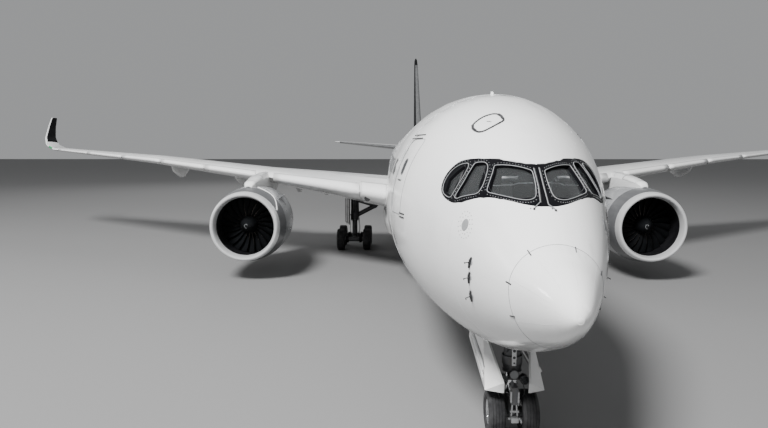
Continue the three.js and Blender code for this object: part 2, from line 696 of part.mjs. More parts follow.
const strutBox = (low, high) =>
  boxBetween([ENGINE_X - 0.16, 24.3, low], [ENGINE_X + 0.16, 26.9, high]);
const struts = strutBox(ENGINE_Z - 2, ENGINE_Z + 2).intersect(ductSolid);
const core = atEngine(coreProfile, 20)
  .add(struts)
  .subtract(
    bar(
      [ENGINE_X, 23.2, ENGINE_Z], [ENGINE_X, 24.2, ENGINE_Z],
      SHAFT_RADIUS + BEARING_GAP / METRE, 20,
    ),
  );

// Fan: a spinner and hub with twisted blades and a shaft that turns in the core.
const BLADES = 12;
const TIP_RADIUS = 1.5;
const fanHub = atEngine(
  [[0, 22.2], [0.2, 22.3], [0.44, 22.7], [0.56, 23.32],
    [0.26, 23.32], [0.26, 23.35 - SEAM], [SHAFT_RADIUS, 23.35 - SEAM], [SHAFT_RADIUS, 24.15],
    [0, 24.15]],
  16,
);
function fanBlade() {
  const rows = [
    { radius: 0.4, lean: 38, half: 0.24, thick: 0.03 },
    { radius: TIP_RADIUS * 0.975, lean: 62, half: 0.3, thick: 0.014 },
  ];
  return loft(
    rows.map(({ radius, lean, half, thick }) => {
      const angle = (lean * Math.PI) / 180;
      const [along, aside] = [Math.cos(angle), Math.sin(angle)];
      return [[-1, 0], [0, 1], [1, 0], [0, -1]].map(([c, t]) =>
        place(
          c * half * aside + t * thick * along,
          FAN_STATION + 0.28 + c * half * along - t * thick * aside,
          radius,
        ),
      );
    }),
  );
}
const blade = fanBlade();
const bladesRound = [];
for (let i = 0; i < BLADES; i++) {
  bladesRound.push(blade.rotate([0, (360 * i) / BLADES, 0]));
}
const fan = fanHub.add(shifted(joined(bladesRound), ENGINE_X * METRE, 0, ENGINE_Z * METRE));

// Pylon: station, half width, bottom z, top z.
const PYLON_SECTIONS = [
  [22.75, 0.16, 4.3, 4.8],
  [23.1, 0.28, 4.3, 5.02],
  [24.2, 0.34, 4.2, 5.2],
  [25.8, 0.34, 4.1, 5.38],
  [27.2, 0.34, 4.0, 5.42],
  [28.6, 0.32, 4.1, 5.2],
  [30.2, 0.22, 4.5, 5.1],
  [31.4, 0.08, 4.75, 5.1],
];
const pylon = loft(
  PYLON_SECTIONS.map(([station, half, bottom, top]) => {
    const rim = [[1, 0], [1, 0.8], [0.55, 0.97], [0, 1], [-0.55, 0.97], [-1, 0.8], [-1, 0]];
    return rim.map(([c, h]) => place(ENGINE_X + half * c, station, bottom + h * (top - bottom)));
  }),
)
  .subtract(cowlEnvelope)
  .subtract(wingGrown);

// Adds a piece made on the left side and its mirror image on the right side.
function addPair(name, solid, material) {
  addPiece(`left_${name}`, solid, material);
  addPiece(`right_${name}`, mirrored(solid), material);
}
addPair("wing", wing, WHITE_PAINT);
addPair("inboard_flap", flapSolids[0], WHITE_PAINT);
addPair("outboard_flap", flapSolids[1], WHITE_PAINT);
addPair("aileron", aileronCut.surface, WHITE_PAINT);
addPair("tailplane", tailplane, WHITE_PAINT);
addPair("elevator", tailCut.surface, WHITE_PAINT);
addPair("inlet_lip", inletLip, LIP_METAL);
addPair("cowl", cowl, COWL_PAINT);
addPair("fan", fan, FAN_METAL);
addPair("engine_core", core, HOT_METAL);
addPair("pylon", pylon, WHITE_PAINT);

// Wheels. A wheel pair is one turned piece; tyre and rim profiles share the bead radius.
const NOSE_WHEEL = { radius: 0.525, half: 0.197, bead: 0.28, out: 0.3875, axle: 0.06, sides: 20 };
const MAIN_WHEEL = { radius: 0.7, half: 0.265, bead: 0.3, out: 0.8675, axle: 0.09, sides: 16 };

function tyreProfile({ radius: rolling, half, bead, sides }) {
  const radius = rolling / Math.cos(Math.PI / sides);
  const side = [
    [bead, half * 0.62], [(bead + radius) / 2, half], [radius * 0.94, half * 0.86], [radius, half * 0.5],
  ];
  const other = side.map(([r, along]) => [r, -along]).reverse();
  return [...side, ...other, side[0]];
}

function rimHalf({ half, bead, out, axle }) {
  const [seat, inner] = [bead - SEAM * 1.5, half * 0.6];
  return [
    [axle, out - half * 0.7], [seat, out - inner], [seat, out + inner],
    [seat - 0.05, out + 0.02], [axle * 1.5, out + half * 0.5],
  ];
}

function wheelPair(wheel, x, station) {
  const half = rimHalf(wheel);
  const other = half.map(([r, along]) => [r, -along]).reverse();
  const end = half[half.length - 1][1];
  const profile = [[0, -end], ...other, ...half, [0, end]];
  const spin = turnedOnAxle(profile, x, station, wheel.radius, wheel.sides);
  const tyres = [-1, 1].map((side) =>
    turnedOnAxle(tyreProfile(wheel), x + side * wheel.out, station, wheel.radius, wheel.sides),
  );
  return { spin, tyres };
}

const noseWheels = wheelPair(NOSE_WHEEL, 0, NOSE_GEAR_STATION);
addPiece("nose_wheels", noseWheels.spin, GEAR_METAL);
addPiece("nose_tyre_right", noseWheels.tyres[0], RUBBER);
addPiece("nose_tyre_left", noseWheels.tyres[1], RUBBER);

// Nose leg: the fixed strut with its cross shaft and drag brace.
const NG = NOSE_GEAR_STATION;
const STEER_BORE = 0.125;
const noseBore = bar([0, NG, 1.5], [0, NG, 2.6], STEER_BORE + BEARING_GAP / METRE, 16);
const noseLeg = bar([0, NG, 1.72], [0, NG, 3.12], 0.19, 16)
  .add(bar([0, NG, 1.72], [0, NG, 1.92], 0.24, 16))
  .add(bar([SEAM - WELL_HALF, NG, 2.95], [WELL_HALF - SEAM, NG, 2.95], 0.11, 12))
  .add(bar([-0.1, NG - 0.05, 1.98], [-0.34, 4.32, 2.86], 0.055, 8))
  .add(bar([0.1, NG - 0.05, 1.98], [0.34, 4.32, 2.86], 0.055, 8))
  .add(bar([SEAM - WELL_HALF, 4.32, 2.86], [WELL_HALF - SEAM, 4.32, 2.86], 0.06, 12))
  .subtract(noseBore);
addPiece("nose_leg", noseLeg, GEAR_METAL);

// Steering part: the sliding tube, torque links, axle housing, towing fitting and lamps.
const housingHalf = NOSE_WHEEL.out - NOSE_WHEEL.half * 0.7 - SEAM;
const noseSteering = bar([0, NG, 0.6], [0, NG, 2.3], STEER_BORE, 16)
  .add(bar([0, NG, 1.56], [0, NG, 1.7], 0.21, 16))
  .add(bar([0, NG, 1.6], [0, NG, 1.72 - SEAM], 0.17, 16))
  .add(bar([-housingHalf, NG, 0.525], [housingHalf, NG, 0.525], 0.13, 12))
  .add(bar([0, NG, 0.525], [0, NG, 0.95], 0.16, 12))
  .add(boxBetween([-0.08, NG - 0.42, 0.86], [0.08, NG, 0.94]))
  .add(boxBetween([-0.08, NG - 0.42, 0.86], [0.08, NG - 0.32, 1.24]))
  .add(boxBetween([-0.08, NG - 0.42, 1.18], [0.08, NG, 1.26]))
  .add(boxBetween([-0.08, NG - 0.5, 0.47], [0.08, NG - 0.05, 0.58]))
  .add(bar([-0.3, NG - 0.12, 1.4], [0.3, NG - 0.12, 1.4], 0.03, 8))
  .add(bar([-0.24, NG - 0.1, 1.4], [-0.24, NG - 0.28, 1.4], 0.1, 10))
  .add(bar([0.24, NG - 0.1, 1.4], [0.24, NG - 0.28, 1.4], 0.1, 10))
  .subtract(
    bar([-0.6, NG, 0.525], [0.6, NG, 0.525], NOSE_WHEEL.axle + BEARING_GAP / METRE, 20),
  );
addPiece("nose_steering", noseSteering, GEAR_METAL);

// Doors of the nose well, open and hanging beside the leg. Each is a side panel whose front end
// turns inward, as the belly does there when the door is shut.
const NOSE_DOOR_THICK = 0.045;
const NOSE_DOOR_SIDE = [
  [0.54, 8.12, 2.3], [0.57, 5.75, 2.35], [0.68, 4.62, 1.2], [0.63, 7.9, 1.45],
];
const NOSE_DOOR_FRONT = [
  NOSE_DOOR_SIDE[1], [0.32, 4.4, 1.44], [0.32, 4.45, 1.2], NOSE_DOOR_SIDE[2],
];
const doorPanel = (corners) =>
  loft(
    [NOSE_DOOR_THICK, 0].map((inward) =>
      corners.map(([x, station, z]) => place(x - inward, station, z)),
    ),
  );
let noseDoor = doorPanel(NOSE_DOOR_SIDE).add(doorPanel(NOSE_DOOR_FRONT));
for (const station of [6.35, 7.85]) {
  noseDoor = noseDoor.add(bar([0.53, station, 2.28], [WELL_HALF - SEAM, station, 2.28], 0.035, 10));
}
addPair("nose_door", noseDoor, WHITE_PAINT);

// Main gear: leg with bogie beam, side stay and drag stay; two wheel pairs a side.
const [MX, MS] = [MAIN_GEAR_X, MAIN_GEAR_STATION];
const axleStations = [MS - AXLE_SPACING / 2, MS + AXLE_SPACING / 2];
let mainLeg = bar([MX, MS, 0.7], [MX, MS, 4.6], 0.17, 12)
  .add(bar([MX, MS, 1.95], [MX, MS, 4.6], 0.26, 12))
  .add(bar([MX, axleStations[0], 0.7], [MX, axleStations[1], 0.7], 0.15, 12))
  .add(bar([MX, MS, 2.15], [MX - 2.6, MS, 3.5], 0.1, 8))
  .add(bar([MX, MS, 2.3], [MX - 0.1, MS - 2.6, 4.6], 0.09, 8))
  .add(boxBetween([MX - 0.1, MS + 0.1, 1.0], [MX + 0.1, MS + 0.62, 1.1]))
  .add(boxBetween([MX - 0.1, MS + 0.52, 1.0], [MX + 0.1, MS + 0.62, 1.75]))
  .add(boxBetween([MX - 0.1, MS, 1.66], [MX + 0.1, MS + 0.62, 1.76]));
const axleBore = MAIN_WHEEL.axle + (BEARING_GAP + 0.6) / METRE;
for (const station of axleStations) {
  const reach = MAIN_WHEEL.out - MAIN_WHEEL.half * 0.7 - SEAM;
  mainLeg = mainLeg
    .add(bar([MX - reach, station, 0.7], [MX + reach, station, 0.7], 0.15, 12))
    .subtract(bar([MX - 2, station, 0.7], [MX + 2, station, 0.7], axleBore, 16));
}
mainLeg = mainLeg
  .subtract(wingGrown.add(boxBetween([0, 20, 4.4], [10, 40, 6])))
  .subtract(fairingGrown)
  .subtract(wholeBodyGrown);
addPair("main_leg", mainLeg, GEAR_METAL);
axleStations.forEach((station, index) => {
  const end = ["front", "rear"][index];
  const wheels = wheelPair(MAIN_WHEEL, MX, station);
  addPair(`${end}_main_wheels`, wheels.spin, GEAR_METAL);
  addPair(`${end}_inner_tyre`, wheels.tyres[0], RUBBER);
  addPair(`${end}_outer_tyre`, wheels.tyres[1], RUBBER);
});

// The leg door stands outboard of the leg, turned a little so that its rear edge is further out.
const [LEG_DOOR_LOW, LEG_DOOR_HIGH] = [1.62, 3.85];
const LEG_DOOR_PLAN = [
  [MX + 0.3, MS - 0.6], [MX + 0.34, MS - 0.63], [MX + 0.68, MS + 0.5], [MX + 0.64, MS + 0.52],
];
const legDoor = loft(
  [LEG_DOOR_LOW, LEG_DOOR_HIGH].map((z) => LEG_DOOR_PLAN.map(([x, s]) => place(x, s, z))),
)
  .add(boxBetween([MX, MS - 0.05, 2.2], [MX + 0.52, MS + 0.05, 2.3]))
  .add(boxBetween([MX, MS - 0.05, 3.3], [MX + 0.52, MS + 0.05, 3.4]))
  .subtract(bar([MX, MS, 1.5], [MX, MS, 4.6], 0.26 + SEAM, 12));
addPair("main_leg_door", legDoor, WHITE_PAINT);

airliner.name = "airliner";
export default airliner;
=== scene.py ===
# %% [markdown]
# A wide-body airliner on its landing gear, seen from just ahead of its nose.
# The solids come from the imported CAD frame. This script gives them their paint and adds the
# pieces that are too fine for the solids, one cell at a time. One unit is one metre of the
# half-size model, the nose points to -Y and the aircraft's left side is +X.

import json
import math

import bmesh
import bpy
from mathutils import Matrix, Vector
from mathutils.bvhtree import BVHTree

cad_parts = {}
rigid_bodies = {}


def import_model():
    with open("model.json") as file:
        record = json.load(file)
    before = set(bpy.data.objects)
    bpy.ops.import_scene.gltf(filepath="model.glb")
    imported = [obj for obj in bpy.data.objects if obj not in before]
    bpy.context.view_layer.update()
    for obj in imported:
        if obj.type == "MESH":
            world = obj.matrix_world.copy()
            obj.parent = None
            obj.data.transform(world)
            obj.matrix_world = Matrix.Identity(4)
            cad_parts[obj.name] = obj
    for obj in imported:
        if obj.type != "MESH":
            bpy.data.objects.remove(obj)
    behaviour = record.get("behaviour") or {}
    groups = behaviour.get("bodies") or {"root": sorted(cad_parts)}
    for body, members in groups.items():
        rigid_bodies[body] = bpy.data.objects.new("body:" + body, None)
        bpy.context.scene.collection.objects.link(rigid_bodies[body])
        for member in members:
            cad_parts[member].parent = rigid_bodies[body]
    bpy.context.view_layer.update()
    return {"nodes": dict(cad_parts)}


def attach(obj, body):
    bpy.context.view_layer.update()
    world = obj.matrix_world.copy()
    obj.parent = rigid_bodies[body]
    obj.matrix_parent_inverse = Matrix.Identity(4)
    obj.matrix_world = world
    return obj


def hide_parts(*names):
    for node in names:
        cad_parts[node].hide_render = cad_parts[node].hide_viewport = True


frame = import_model()
nodes = frame["nodes"]
SIDES = (("left", 1), ("right", -1))

# %% [markdown]
# On the drawing of an aircraft a place has a station: its distance aft of the nose tip. All
# tables below hold full-size metres. This helper turns such a place into a point of this
# half-size scene, so the numbers stay those of the real aircraft.

# %% From the drawing to the scene
HALF = 0.5
MIDDLE_STATION = 33.4


def at(x, station, z):
    return Vector((x, station - MIDDLE_STATION, z)) * HALF


print("nose tip at", at(0, 0, 4.12))

# %% [markdown]
# The fuselage is a row of rings, each made of an upper and a lower half ellipse. With the same
# table that the solids use, any point of the skin can be named by its station and its angle
# from the crown, or by its height. Everything that lies on the skin is placed that way.

# %% The fuselage skin as a formula
# station, half width, crown z, keel z, waist z
HULL = [
    (0.0, 0.06, 4.18, 4.05, 4.12),
    (0.1, 0.18, 4.33, 3.93, 4.14),
    (0.3, 0.31, 4.49, 3.77, 4.18),
    (0.7, 0.5, 4.73, 3.54, 4.24),
    (1.4, 0.81, 5.05, 3.23, 4.3),
    (2.1, 1.11, 5.62, 2.95, 4.38),
    (3.0, 1.45, 6.33, 2.64, 4.5),
    (4.0, 1.8, 6.88, 2.36, 4.68),
    (5.0, 2.12, 7.35, 2.15, 4.85),
    (6.0, 2.43, 7.71, 2.05, 4.94),
    (7.0, 2.68, 7.98, 2.02, 5.0),
    (8.0, 2.85, 8.15, 2.02, 5.05),
    (9.5, 2.96, 8.26, 2.02, 5.1),
    (11.0, 2.98, 8.29, 2.02, 5.12),
    (46.0, 2.98, 8.29, 2.02, 5.12),
    (48.5, 2.93, 8.28, 2.25, 5.18),
    (52.0, 2.72, 8.21, 3.0, 5.5),
    (56.0, 2.28, 8.06, 4.1, 6.0),
    (60.0, 1.7, 7.87, 5.2, 6.45),
    (63.5, 1.1, 7.68, 6.05, 6.8),
    (65.8, 0.62, 7.48, 6.42, 6.93),
    (66.8, 0.45, 7.35, 6.45, 6.9),
]


def smooth_at(rows, column, where):
    """One column of a table at any station, on a smooth curve through its rows."""
    last = len(rows) - 1
    k = 0
    while k < last - 1 and rows[k + 1][0] < where:
        k += 1

    def slope(i):
        before, after = rows[max(i - 1, 0)], rows[min(i + 1, last)]
        return (after[column] - before[column]) / (after[0] - before[0])

    width = rows[k + 1][0] - rows[k][0]
    t = min(max((where - rows[k][0]) / width, 0), 1)
    p0, p1 = rows[k][column], rows[k + 1][column]
    m0, m1 = (0, 0) if p0 == p1 else (slope(k) * width, slope(k + 1) * width)
    return (
        (2 * t**3 - 3 * t**2 + 1) * p0
        + (t**3 - 2 * t**2 + t) * m0
        + (3 * t**2 - 2 * t**3) * p1
        + (t**3 - t**2) * m1
    )


def hull_row(station):
    return [smooth_at(HULL, column, station) for column in (1, 2, 3, 4)]


def half_height(row, above):
    """How far the skin reaches above the waist, or below it."""
    _, crown, keel, waist = row
    return (crown - waist) if above else (waist - keel)


def on_hull(station, degrees, lift=0.0):
    """A point of the skin by its angle from the crown; lift is in metres of the scene."""
    row = hull_row(station)
    width, waist = row[0], row[3]
    angle = math.radians(degrees)
    up = math.cos(angle)
    extra = lift / HALF
    return at((width + extra) * math.sin(angle), station,
              waist + (half_height(row, up >= 0) + extra) * up)


def angle_at(station, z):
    """The angle from the crown at which the skin is z metres above the ground."""
    row = hull_row(station)
    rise = z - row[3]
    return math.degrees(math.acos(max(-1, min(1, rise / half_height(row, rise >= 0)))))


print("skin at the door", on_hull(6.45, angle_at(6.45, 6.2)))

# %% [markdown]
# Paint and metal are never one flat colour. A finish here starts from the Principled shader.
# Noise on the object's own coordinates moves its colour and roughness a little, a second,
# stretched noise draws streaks the way the air flows, and a fine noise gives the surface its
# slight unevenness.

# %% Node helpers
def add_node(tree, kind, **values):
    node = tree.nodes.new(kind)
    for key, value in values.items():
        setattr(node, key, value)
    return node


def object_noise(tree, stretch, scale, detail=3.0):
    coords = add_node(tree, "ShaderNodeTexCoord")
    mapping = add_node(tree, "ShaderNodeMapping")
    mapping.inputs["Scale"].default_value = stretch
    noise = add_node(tree, "ShaderNodeTexNoise")
    noise.inputs["Scale"].default_value = scale
    noise.inputs["Detail"].default_value = detail
    tree.links.new(coords.outputs["Object"], mapping.inputs["Vector"])
    tree.links.new(mapping.outputs["Vector"], noise.inputs["Vector"])
    return noise.outputs["Fac"]


def remap(tree, value, low, high, to_low, to_high):
    node = add_node(tree, "ShaderNodeMapRange")
    for socket, number in zip(("From Min", "From Max", "To Min", "To Max"),
                              (low, high, to_low, to_high)):
        node.inputs[socket].default_value = number
    tree.links.new(value, node.inputs["Value"])
    return node.outputs["Result"]


def mix_colour(tree, factor, first, second):
    node = add_node(tree, "ShaderNodeMix", data_type="RGBA")
    tree.links.new(factor, node.inputs["Factor"])
    for socket, value in ((node.inputs[6], first), (node.inputs[7], second)):
        if isinstance(value, tuple):
            socket.default_value = (*value, 1)
        else:
            tree.links.new(value, socket)
    return node.outputs[2]


def multiply(tree, first, second):
    node = add_node(tree, "ShaderNodeMath", operation="MULTIPLY")
    tree.links.new(first, node.inputs[0])
    if isinstance(second, (int, float)):
        node.inputs[1].default_value = second
    else:
        tree.links.new(second, node.inputs[1])
    return node.outputs[0]


print("node helpers ready")

# %% The general finish
FINISHES = {}


def make_finish(
    name, colour, tone, rough, metal=0.0, coat=0.0, scale=1.2, streak=None, low_darkening=None,
    fine=(60.0, 0.02), **sockets,
):
    """colour drifts to tone over patches; rough is (low, high).

    streak is (stretch, scale, colour, amount), and the darkening towards the bottom is (colour,
    top z, low z, amount).
    """
    material = bpy.data.materials.new(name)
    material.use_nodes = True
    tree = material.node_tree
    shader = tree.nodes["Principled BSDF"]
    patches = object_noise(tree, (1, 1, 1), scale, 4.0)
    result = mix_colour(tree, remap(tree, patches, 0.35, 0.7, 0, 1), colour, tone)
    if streak:
        stretch, streak_scale, streak_colour, amount = streak
        lines = object_noise(tree, stretch, streak_scale, 5.0)
        result = mix_colour(tree, remap(tree, lines, 0.52, 0.78, 0, amount), result, streak_colour)
    # Darker towards the bottom: below the top height the colour turns towards the given one
    if low_darkening:
        low_colour, top, low, amount = low_darkening
        coords = add_node(tree, "ShaderNodeTexCoord")
        parts = add_node(tree, "ShaderNodeSeparateXYZ")
        tree.links.new(coords.outputs["Object"], parts.inputs["Vector"])
        depth = remap(tree, parts.outputs["Z"], low * HALF, top * HALF, 1, 0)
        cloudy = remap(tree, object_noise(tree, (1, 0.25, 1), 3.0, 6.0), 0.35, 0.75, 0, amount)
        result = mix_colour(tree, multiply(tree, depth, cloudy), result, low_colour)
    tree.links.new(result, shader.inputs["Base Color"])
    gloss = object_noise(tree, (1, 0.5, 1), scale * 3, 4.0)
    tree.links.new(remap(tree, gloss, 0.3, 0.75, *rough), shader.inputs["Roughness"])
    bump = add_node(tree, "ShaderNodeBump")
    bump.inputs["Strength"].default_value = fine[1]
    bump.inputs["Distance"].default_value = 0.01
    tree.links.new(object_noise(tree, (1, 1, 1), fine[0], 2.0), bump.inputs["Height"])
    tree.links.new(bump.outputs["Normal"], shader.inputs["Normal"])
    shader.inputs["Metallic"].default_value = metal
    shader.inputs["Coat Weight"].default_value = coat
    for socket, value in sockets.items():
        shader.inputs[socket.replace("_", " ")].default_value = value
    FINISHES[name] = material
    return material


AIRFLOW = (1.0, 0.06, 1.0)
# The white paint turns darker towards the bottom of the belly, below 3.4 m
make_finish(
    "white_paint", (0.80, 0.80, 0.79), (0.76, 0.765, 0.77), (0.16, 0.26), coat=0.6,
    scale=0.5, streak=(AIRFLOW, 4.0, (0.66, 0.66, 0.66), 0.35),
    low_darkening=((0.55, 0.54, 0.52), 3.4, 2.0, 0.8), fine=(9.0, 0.015), Coat_Roughness=0.04,
)
make_finish(
    "black_paint", (0.004, 0.004, 0.005), (0.007, 0.007, 0.008), (0.42, 0.55),
    fine=(14.0, 0.02), Specular_IOR_Level=0.05,
)
make_finish(
    "grey_paint", (0.34, 0.35, 0.36), (0.29, 0.3, 0.31), (0.38, 0.5),
    streak=(AIRFLOW, 5.0, (0.24, 0.24, 0.24), 0.4),
)
make_finish(
    "cowl_paint", (0.27, 0.275, 0.285), (0.23, 0.235, 0.24), (0.24, 0.36), coat=0.4,
    streak=(AIRFLOW, 5.0, (0.34, 0.34, 0.34), 0.4), fine=(9.0, 0.015), Coat_Roughness=0.08,
)
make_finish(
    "lip_metal", (0.84, 0.845, 0.85), (0.76, 0.765, 0.77), (0.3, 0.42), metal=0.55,
    streak=((1, 14, 1), 3.0, (0.62, 0.62, 0.62), 0.5), fine=(30.0, 0.03),
)
make_finish(
    "hot_metal", (0.30, 0.27, 0.24), (0.20, 0.175, 0.16), (0.3, 0.5), metal=1.0,
    streak=(AIRFLOW, 6.0, (0.1, 0.09, 0.09), 0.6),
)
# Near black, far darker than bare titanium: painted shade of the deep inlet. The spinner and the
# brake stacks take it as well
make_finish(
    "fan_metal", (0.008, 0.0085, 0.0095), (0.004, 0.0045, 0.005), (0.5, 0.62), metal=0.1,
    scale=3.0, Specular_IOR_Level=0.12,
)
# Near-black grey for gear whose real paint is light grey: painted shade, as the legs stand in the
# shade of wing and fuselage. Its brown streaks are dirt
make_finish(
    "gear_metal", (0.10, 0.102, 0.107), (0.06, 0.061, 0.064), (0.3, 0.5), metal=0.25, scale=5.0,
    streak=((6, 6, 1), 4.0, (0.12, 0.11, 0.1), 0.7), fine=(90.0, 0.06),
)
make_finish(
    "tyre_rubber", (0.018, 0.018, 0.019), (0.05, 0.05, 0.051), (0.62, 0.85), scale=8.0,
    fine=(160.0, 0.12),
)
make_finish(
    "glass", (0.5, 0.52, 0.53), (0.42, 0.44, 0.45), (0.02, 0.05), scale=2.0,
    fine=(6.0, 0.004), Transmission_Weight=0.96, IOR=1.3,
)
make_finish("seal_grey", (0.36, 0.37, 0.38), (0.28, 0.285, 0.29), (0.35, 0.5), scale=6.0)
make_finish("seam_grey", (0.20, 0.205, 0.21), (0.28, 0.285, 0.29), (0.5, 0.7), scale=3.0)
make_finish("seam_light", (0.50, 0.505, 0.51), (0.58, 0.585, 0.59), (0.4, 0.6), scale=3.0)
make_finish("dark_seal", (0.03, 0.03, 0.032), (0.06, 0.06, 0.062), (0.5, 0.75), scale=6.0)
make_finish(
    "polished_steel", (0.80, 0.81, 0.82), (0.7, 0.71, 0.72), (0.05, 0.14), metal=1.0, scale=6.0,
    fine=(80.0, 0.01),
)
make_finish(
    "bare_metal", (0.55, 0.555, 0.56), (0.42, 0.425, 0.43), (0.25, 0.42), metal=0.9, scale=6.0,
    fine=(120.0, 0.05),
)
make_finish("rubber_hose", (0.02, 0.02, 0.02), (0.04, 0.04, 0.04), (0.4, 0.6), scale=20.0)
# Near black: painted shade inside the inlet duct
make_finish(
    "duct_liner", (0.006, 0.006, 0.007), (0.01, 0.01, 0.011), (0.6, 0.75), scale=6.0,
    fine=(220.0, 0.2), Specular_IOR_Level=0.15,
)
# Nearly black and opaque: painted shade of the dim cabin seen through the pane
make_finish("window_pane", (0.02, 0.022, 0.025), (0.035, 0.037, 0.04), (0.04, 0.1), scale=9.0)
make_finish("lens", (0.55, 0.56, 0.57), (0.7, 0.71, 0.72), (0.03, 0.08), scale=12.0,
            Transmission_Weight=0.4)
make_finish("red_lens", (0.5, 0.02, 0.015), (0.35, 0.01, 0.01), (0.05, 0.1), scale=12.0)
make_finish("green_lens", (0.02, 0.35, 0.12), (0.01, 0.25, 0.08), (0.05, 0.1), scale=12.0)
print("finishes", len(FINISHES))

# %% [markdown]
# Every new piece goes through the same three steps: its bmesh becomes an object, edges sharper
# than a limit are marked so that the rest can be shaded smooth, and it is told which body of the
# aircraft carries it and which solids it stands for.

# %% Finished pieces
SHARP = math.radians(35)
made = {}


def add_object(name, data):
    thing = bpy.data.objects.new(name, data)
    bpy.context.scene.collection.objects.link(thing)
    return thing


def finish_piece(name, mesh, finish, body="airframe", hides=()):
    mesh.materials.clear()
    mesh.materials.append(FINISHES[finish])
    mesh.validate()
    piece = add_object(name, mesh)
    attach(piece, body)
    if hides:
        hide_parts(*hides)
    made[name] = len(mesh.polygons)
    return piece


def finish_bmesh(name, bm, finish, body="airframe", hides=(), sharp=SHARP):
    for edge in bm.edges:
        if len(edge.link_faces) == 2:
            edge.smooth = edge.calc_face_angle(0) < sharp
    for face in bm.faces:
        face.smooth = True
    mesh = bpy.data.meshes.new(name)
    bm.to_mesh(mesh)
    bm.free()
    return finish_piece(name, mesh, finish, body, hides)


# %% [markdown]
# A solid from CAD arrives as loose triangles, so each one is shaded flat. Two modifiers mend
# that without touching its mesh: Weld joins the corners, and Edge Split keeps an edge sharp
# where its faces meet at more than the given angle. The third weighs normals by face size.

# %% Paint and smooth the CAD solids
CAD_SHARP = math.radians(32)
SAME_PLACE = 0.0002

for node in nodes.values():
    slot_name = node.data.materials[0].name.split(".")[0]
    node.data.materials[0] = FINISHES[slot_name]
    if "custom_normal" in node.data.attributes:
        node.data.attributes.remove(node.data.attributes["custom_normal"])
    weld = node.modifiers.new("weld", "WELD")
    weld.merge_threshold = SAME_PLACE
    split = node.modifiers.new("split", "EDGE_SPLIT")
    split.split_angle = CAD_SHARP
    weighted = node.modifiers.new("weighted", "WEIGHTED_NORMAL")
    weighted.keep_sharp = True
    for face in node.data.polygons:
        face.use_smooth = True
print("painted", len(nodes), "solids")

# %% [markdown]
# The skin solids have thirty-two flat strips around. On a glossy nose they would show, so a
# merged copy of each skin solid is cut finer, and every point that belongs to the outer surface
# is moved onto the ellipse formula. The openings stay exactly where the solid has them.

# %% Places on the skin
def drawing_place(point):
    """The x, station and z of a scene point on the drawing."""
    return point.x / HALF, point.y / HALF + MIDDLE_STATION, point.z / HALF


def skin_shares(point):
    """How far across and up the half ellipse a scene point is, and the shorter half axis."""
    x, station, z = drawing_place(point)
    row = hull_row(station)
    width, rise = row[0], z - row[3]
    reach = half_height(row, rise >= 0)
    return x / width, rise / reach, min(width, reach)


def skin_depth(point):
    """How far a scene point lies outside the skin formula, in scene metres."""
    across, up, shorter = skin_shares(point)
    return (math.hypot(across, up) - 1) * shorter * HALF


def to_skin(point, lift=0.0):
    across, up, _ = skin_shares(point)
    return on_hull(drawing_place(point)[1], math.degrees(math.atan2(across, up)), lift)


print("the engine line lies", round(skin_depth(at(10.2, 24, 2.82)), 2), "m off the skin")

# %% Round the skin
BELOW_SKIN, ABOVE_SKIN = 0.013, 0.004
SHORT_EDGE = 0.07
# how often each long edge of a skin solid is cut
CUTS = {"radome": 2, "nose_section": 2, "fuselage": 3, "tail_section": 2,
        "forward_cargo_door": 2, "aft_cargo_door": 2}


def merged_copy(node_name):
    bm = bmesh.new()
    bm.from_mesh(nodes[node_name].data)
    bmesh.ops.remove_doubles(bm, verts=bm.verts, dist=SAME_PLACE)
    return bm


def on_skin(vert):
    return -BELOW_SKIN < skin_depth(vert.co) < ABOVE_SKIN


for node_name, cuts in CUTS.items():
    bm = merged_copy(node_name)
    outer = {vert for vert in bm.verts if on_skin(vert)}
    long_edges = [edge for edge in bm.edges
                  if outer.issuperset(edge.verts) and edge.calc_length() > SHORT_EDGE]
    bmesh.ops.subdivide_edges(bm, edges=long_edges, cuts=cuts, use_grid_fill=True)
    bmesh.ops.triangulate(bm, faces=[face for face in bm.faces if len(face.verts) > 4])
    for vert in bm.verts:
        if on_skin(vert):
            vert.co = to_skin(vert.co)
    bmesh.ops.recalc_face_normals(bm, faces=bm.faces)
    body = nodes[node_name].parent.name.replace("body:", "")
    finish_bmesh(node_name + "_skin", bm, "white_paint", body, (node_name,))
print("rounded", made)

# %% [markdown]
# Three ways of drawing on the skin serve for nearly everything that follows. A line is a curve
# with a thin round bevel, half sunk in the surface. A patch is filled in the flat plane of
# station and angle, cut into small cells and then laid on the skin. A disc is a small circle
# turned to face along the skin's normal.

# %% Lines and smooth loops
def draw_lines(name, lines, finish, radius, body="airframe", closed=False, round_steps=0):
    """Curves with a round bevel, made a mesh; round_steps above 0 also shades them smooth."""
    curve = bpy.data.curves.new(name, "CURVE")
    curve.dimensions = "3D"
    curve.bevel_depth = radius
    curve.bevel_resolution = round_steps
    curve.use_fill_caps = True
    for points in lines:
        spline = curve.splines.new("POLY")
        spline.points.add(len(points) - 1)
        for spline_point, point in zip(spline.points, points):
            spline_point.co = (*point, 1)
        spline.use_cyclic_u = closed
    helper = add_object(name, curve)
    graph = bpy.context.evaluated_depsgraph_get()
    mesh = bpy.data.meshes.new_from_object(helper.evaluated_get(graph))
    bpy.data.objects.remove(helper)
    bpy.data.curves.remove(curve)
    mesh.name = name
    for face in mesh.polygons:
        face.use_smooth = round_steps > 0
    return finish_piece(name, mesh, finish, body)


def blend(four, t):
    """The place at share t between the middle two of four points, on a smooth curve."""
    return tuple(
        0.5 * (2 * b + (c - a) * t + (2 * a - 5 * b + 4 * c - d) * t * t
               + (3 * b - a - 3 * c + d) * t**3)
        for a, b, c, d in zip(*four)
    )


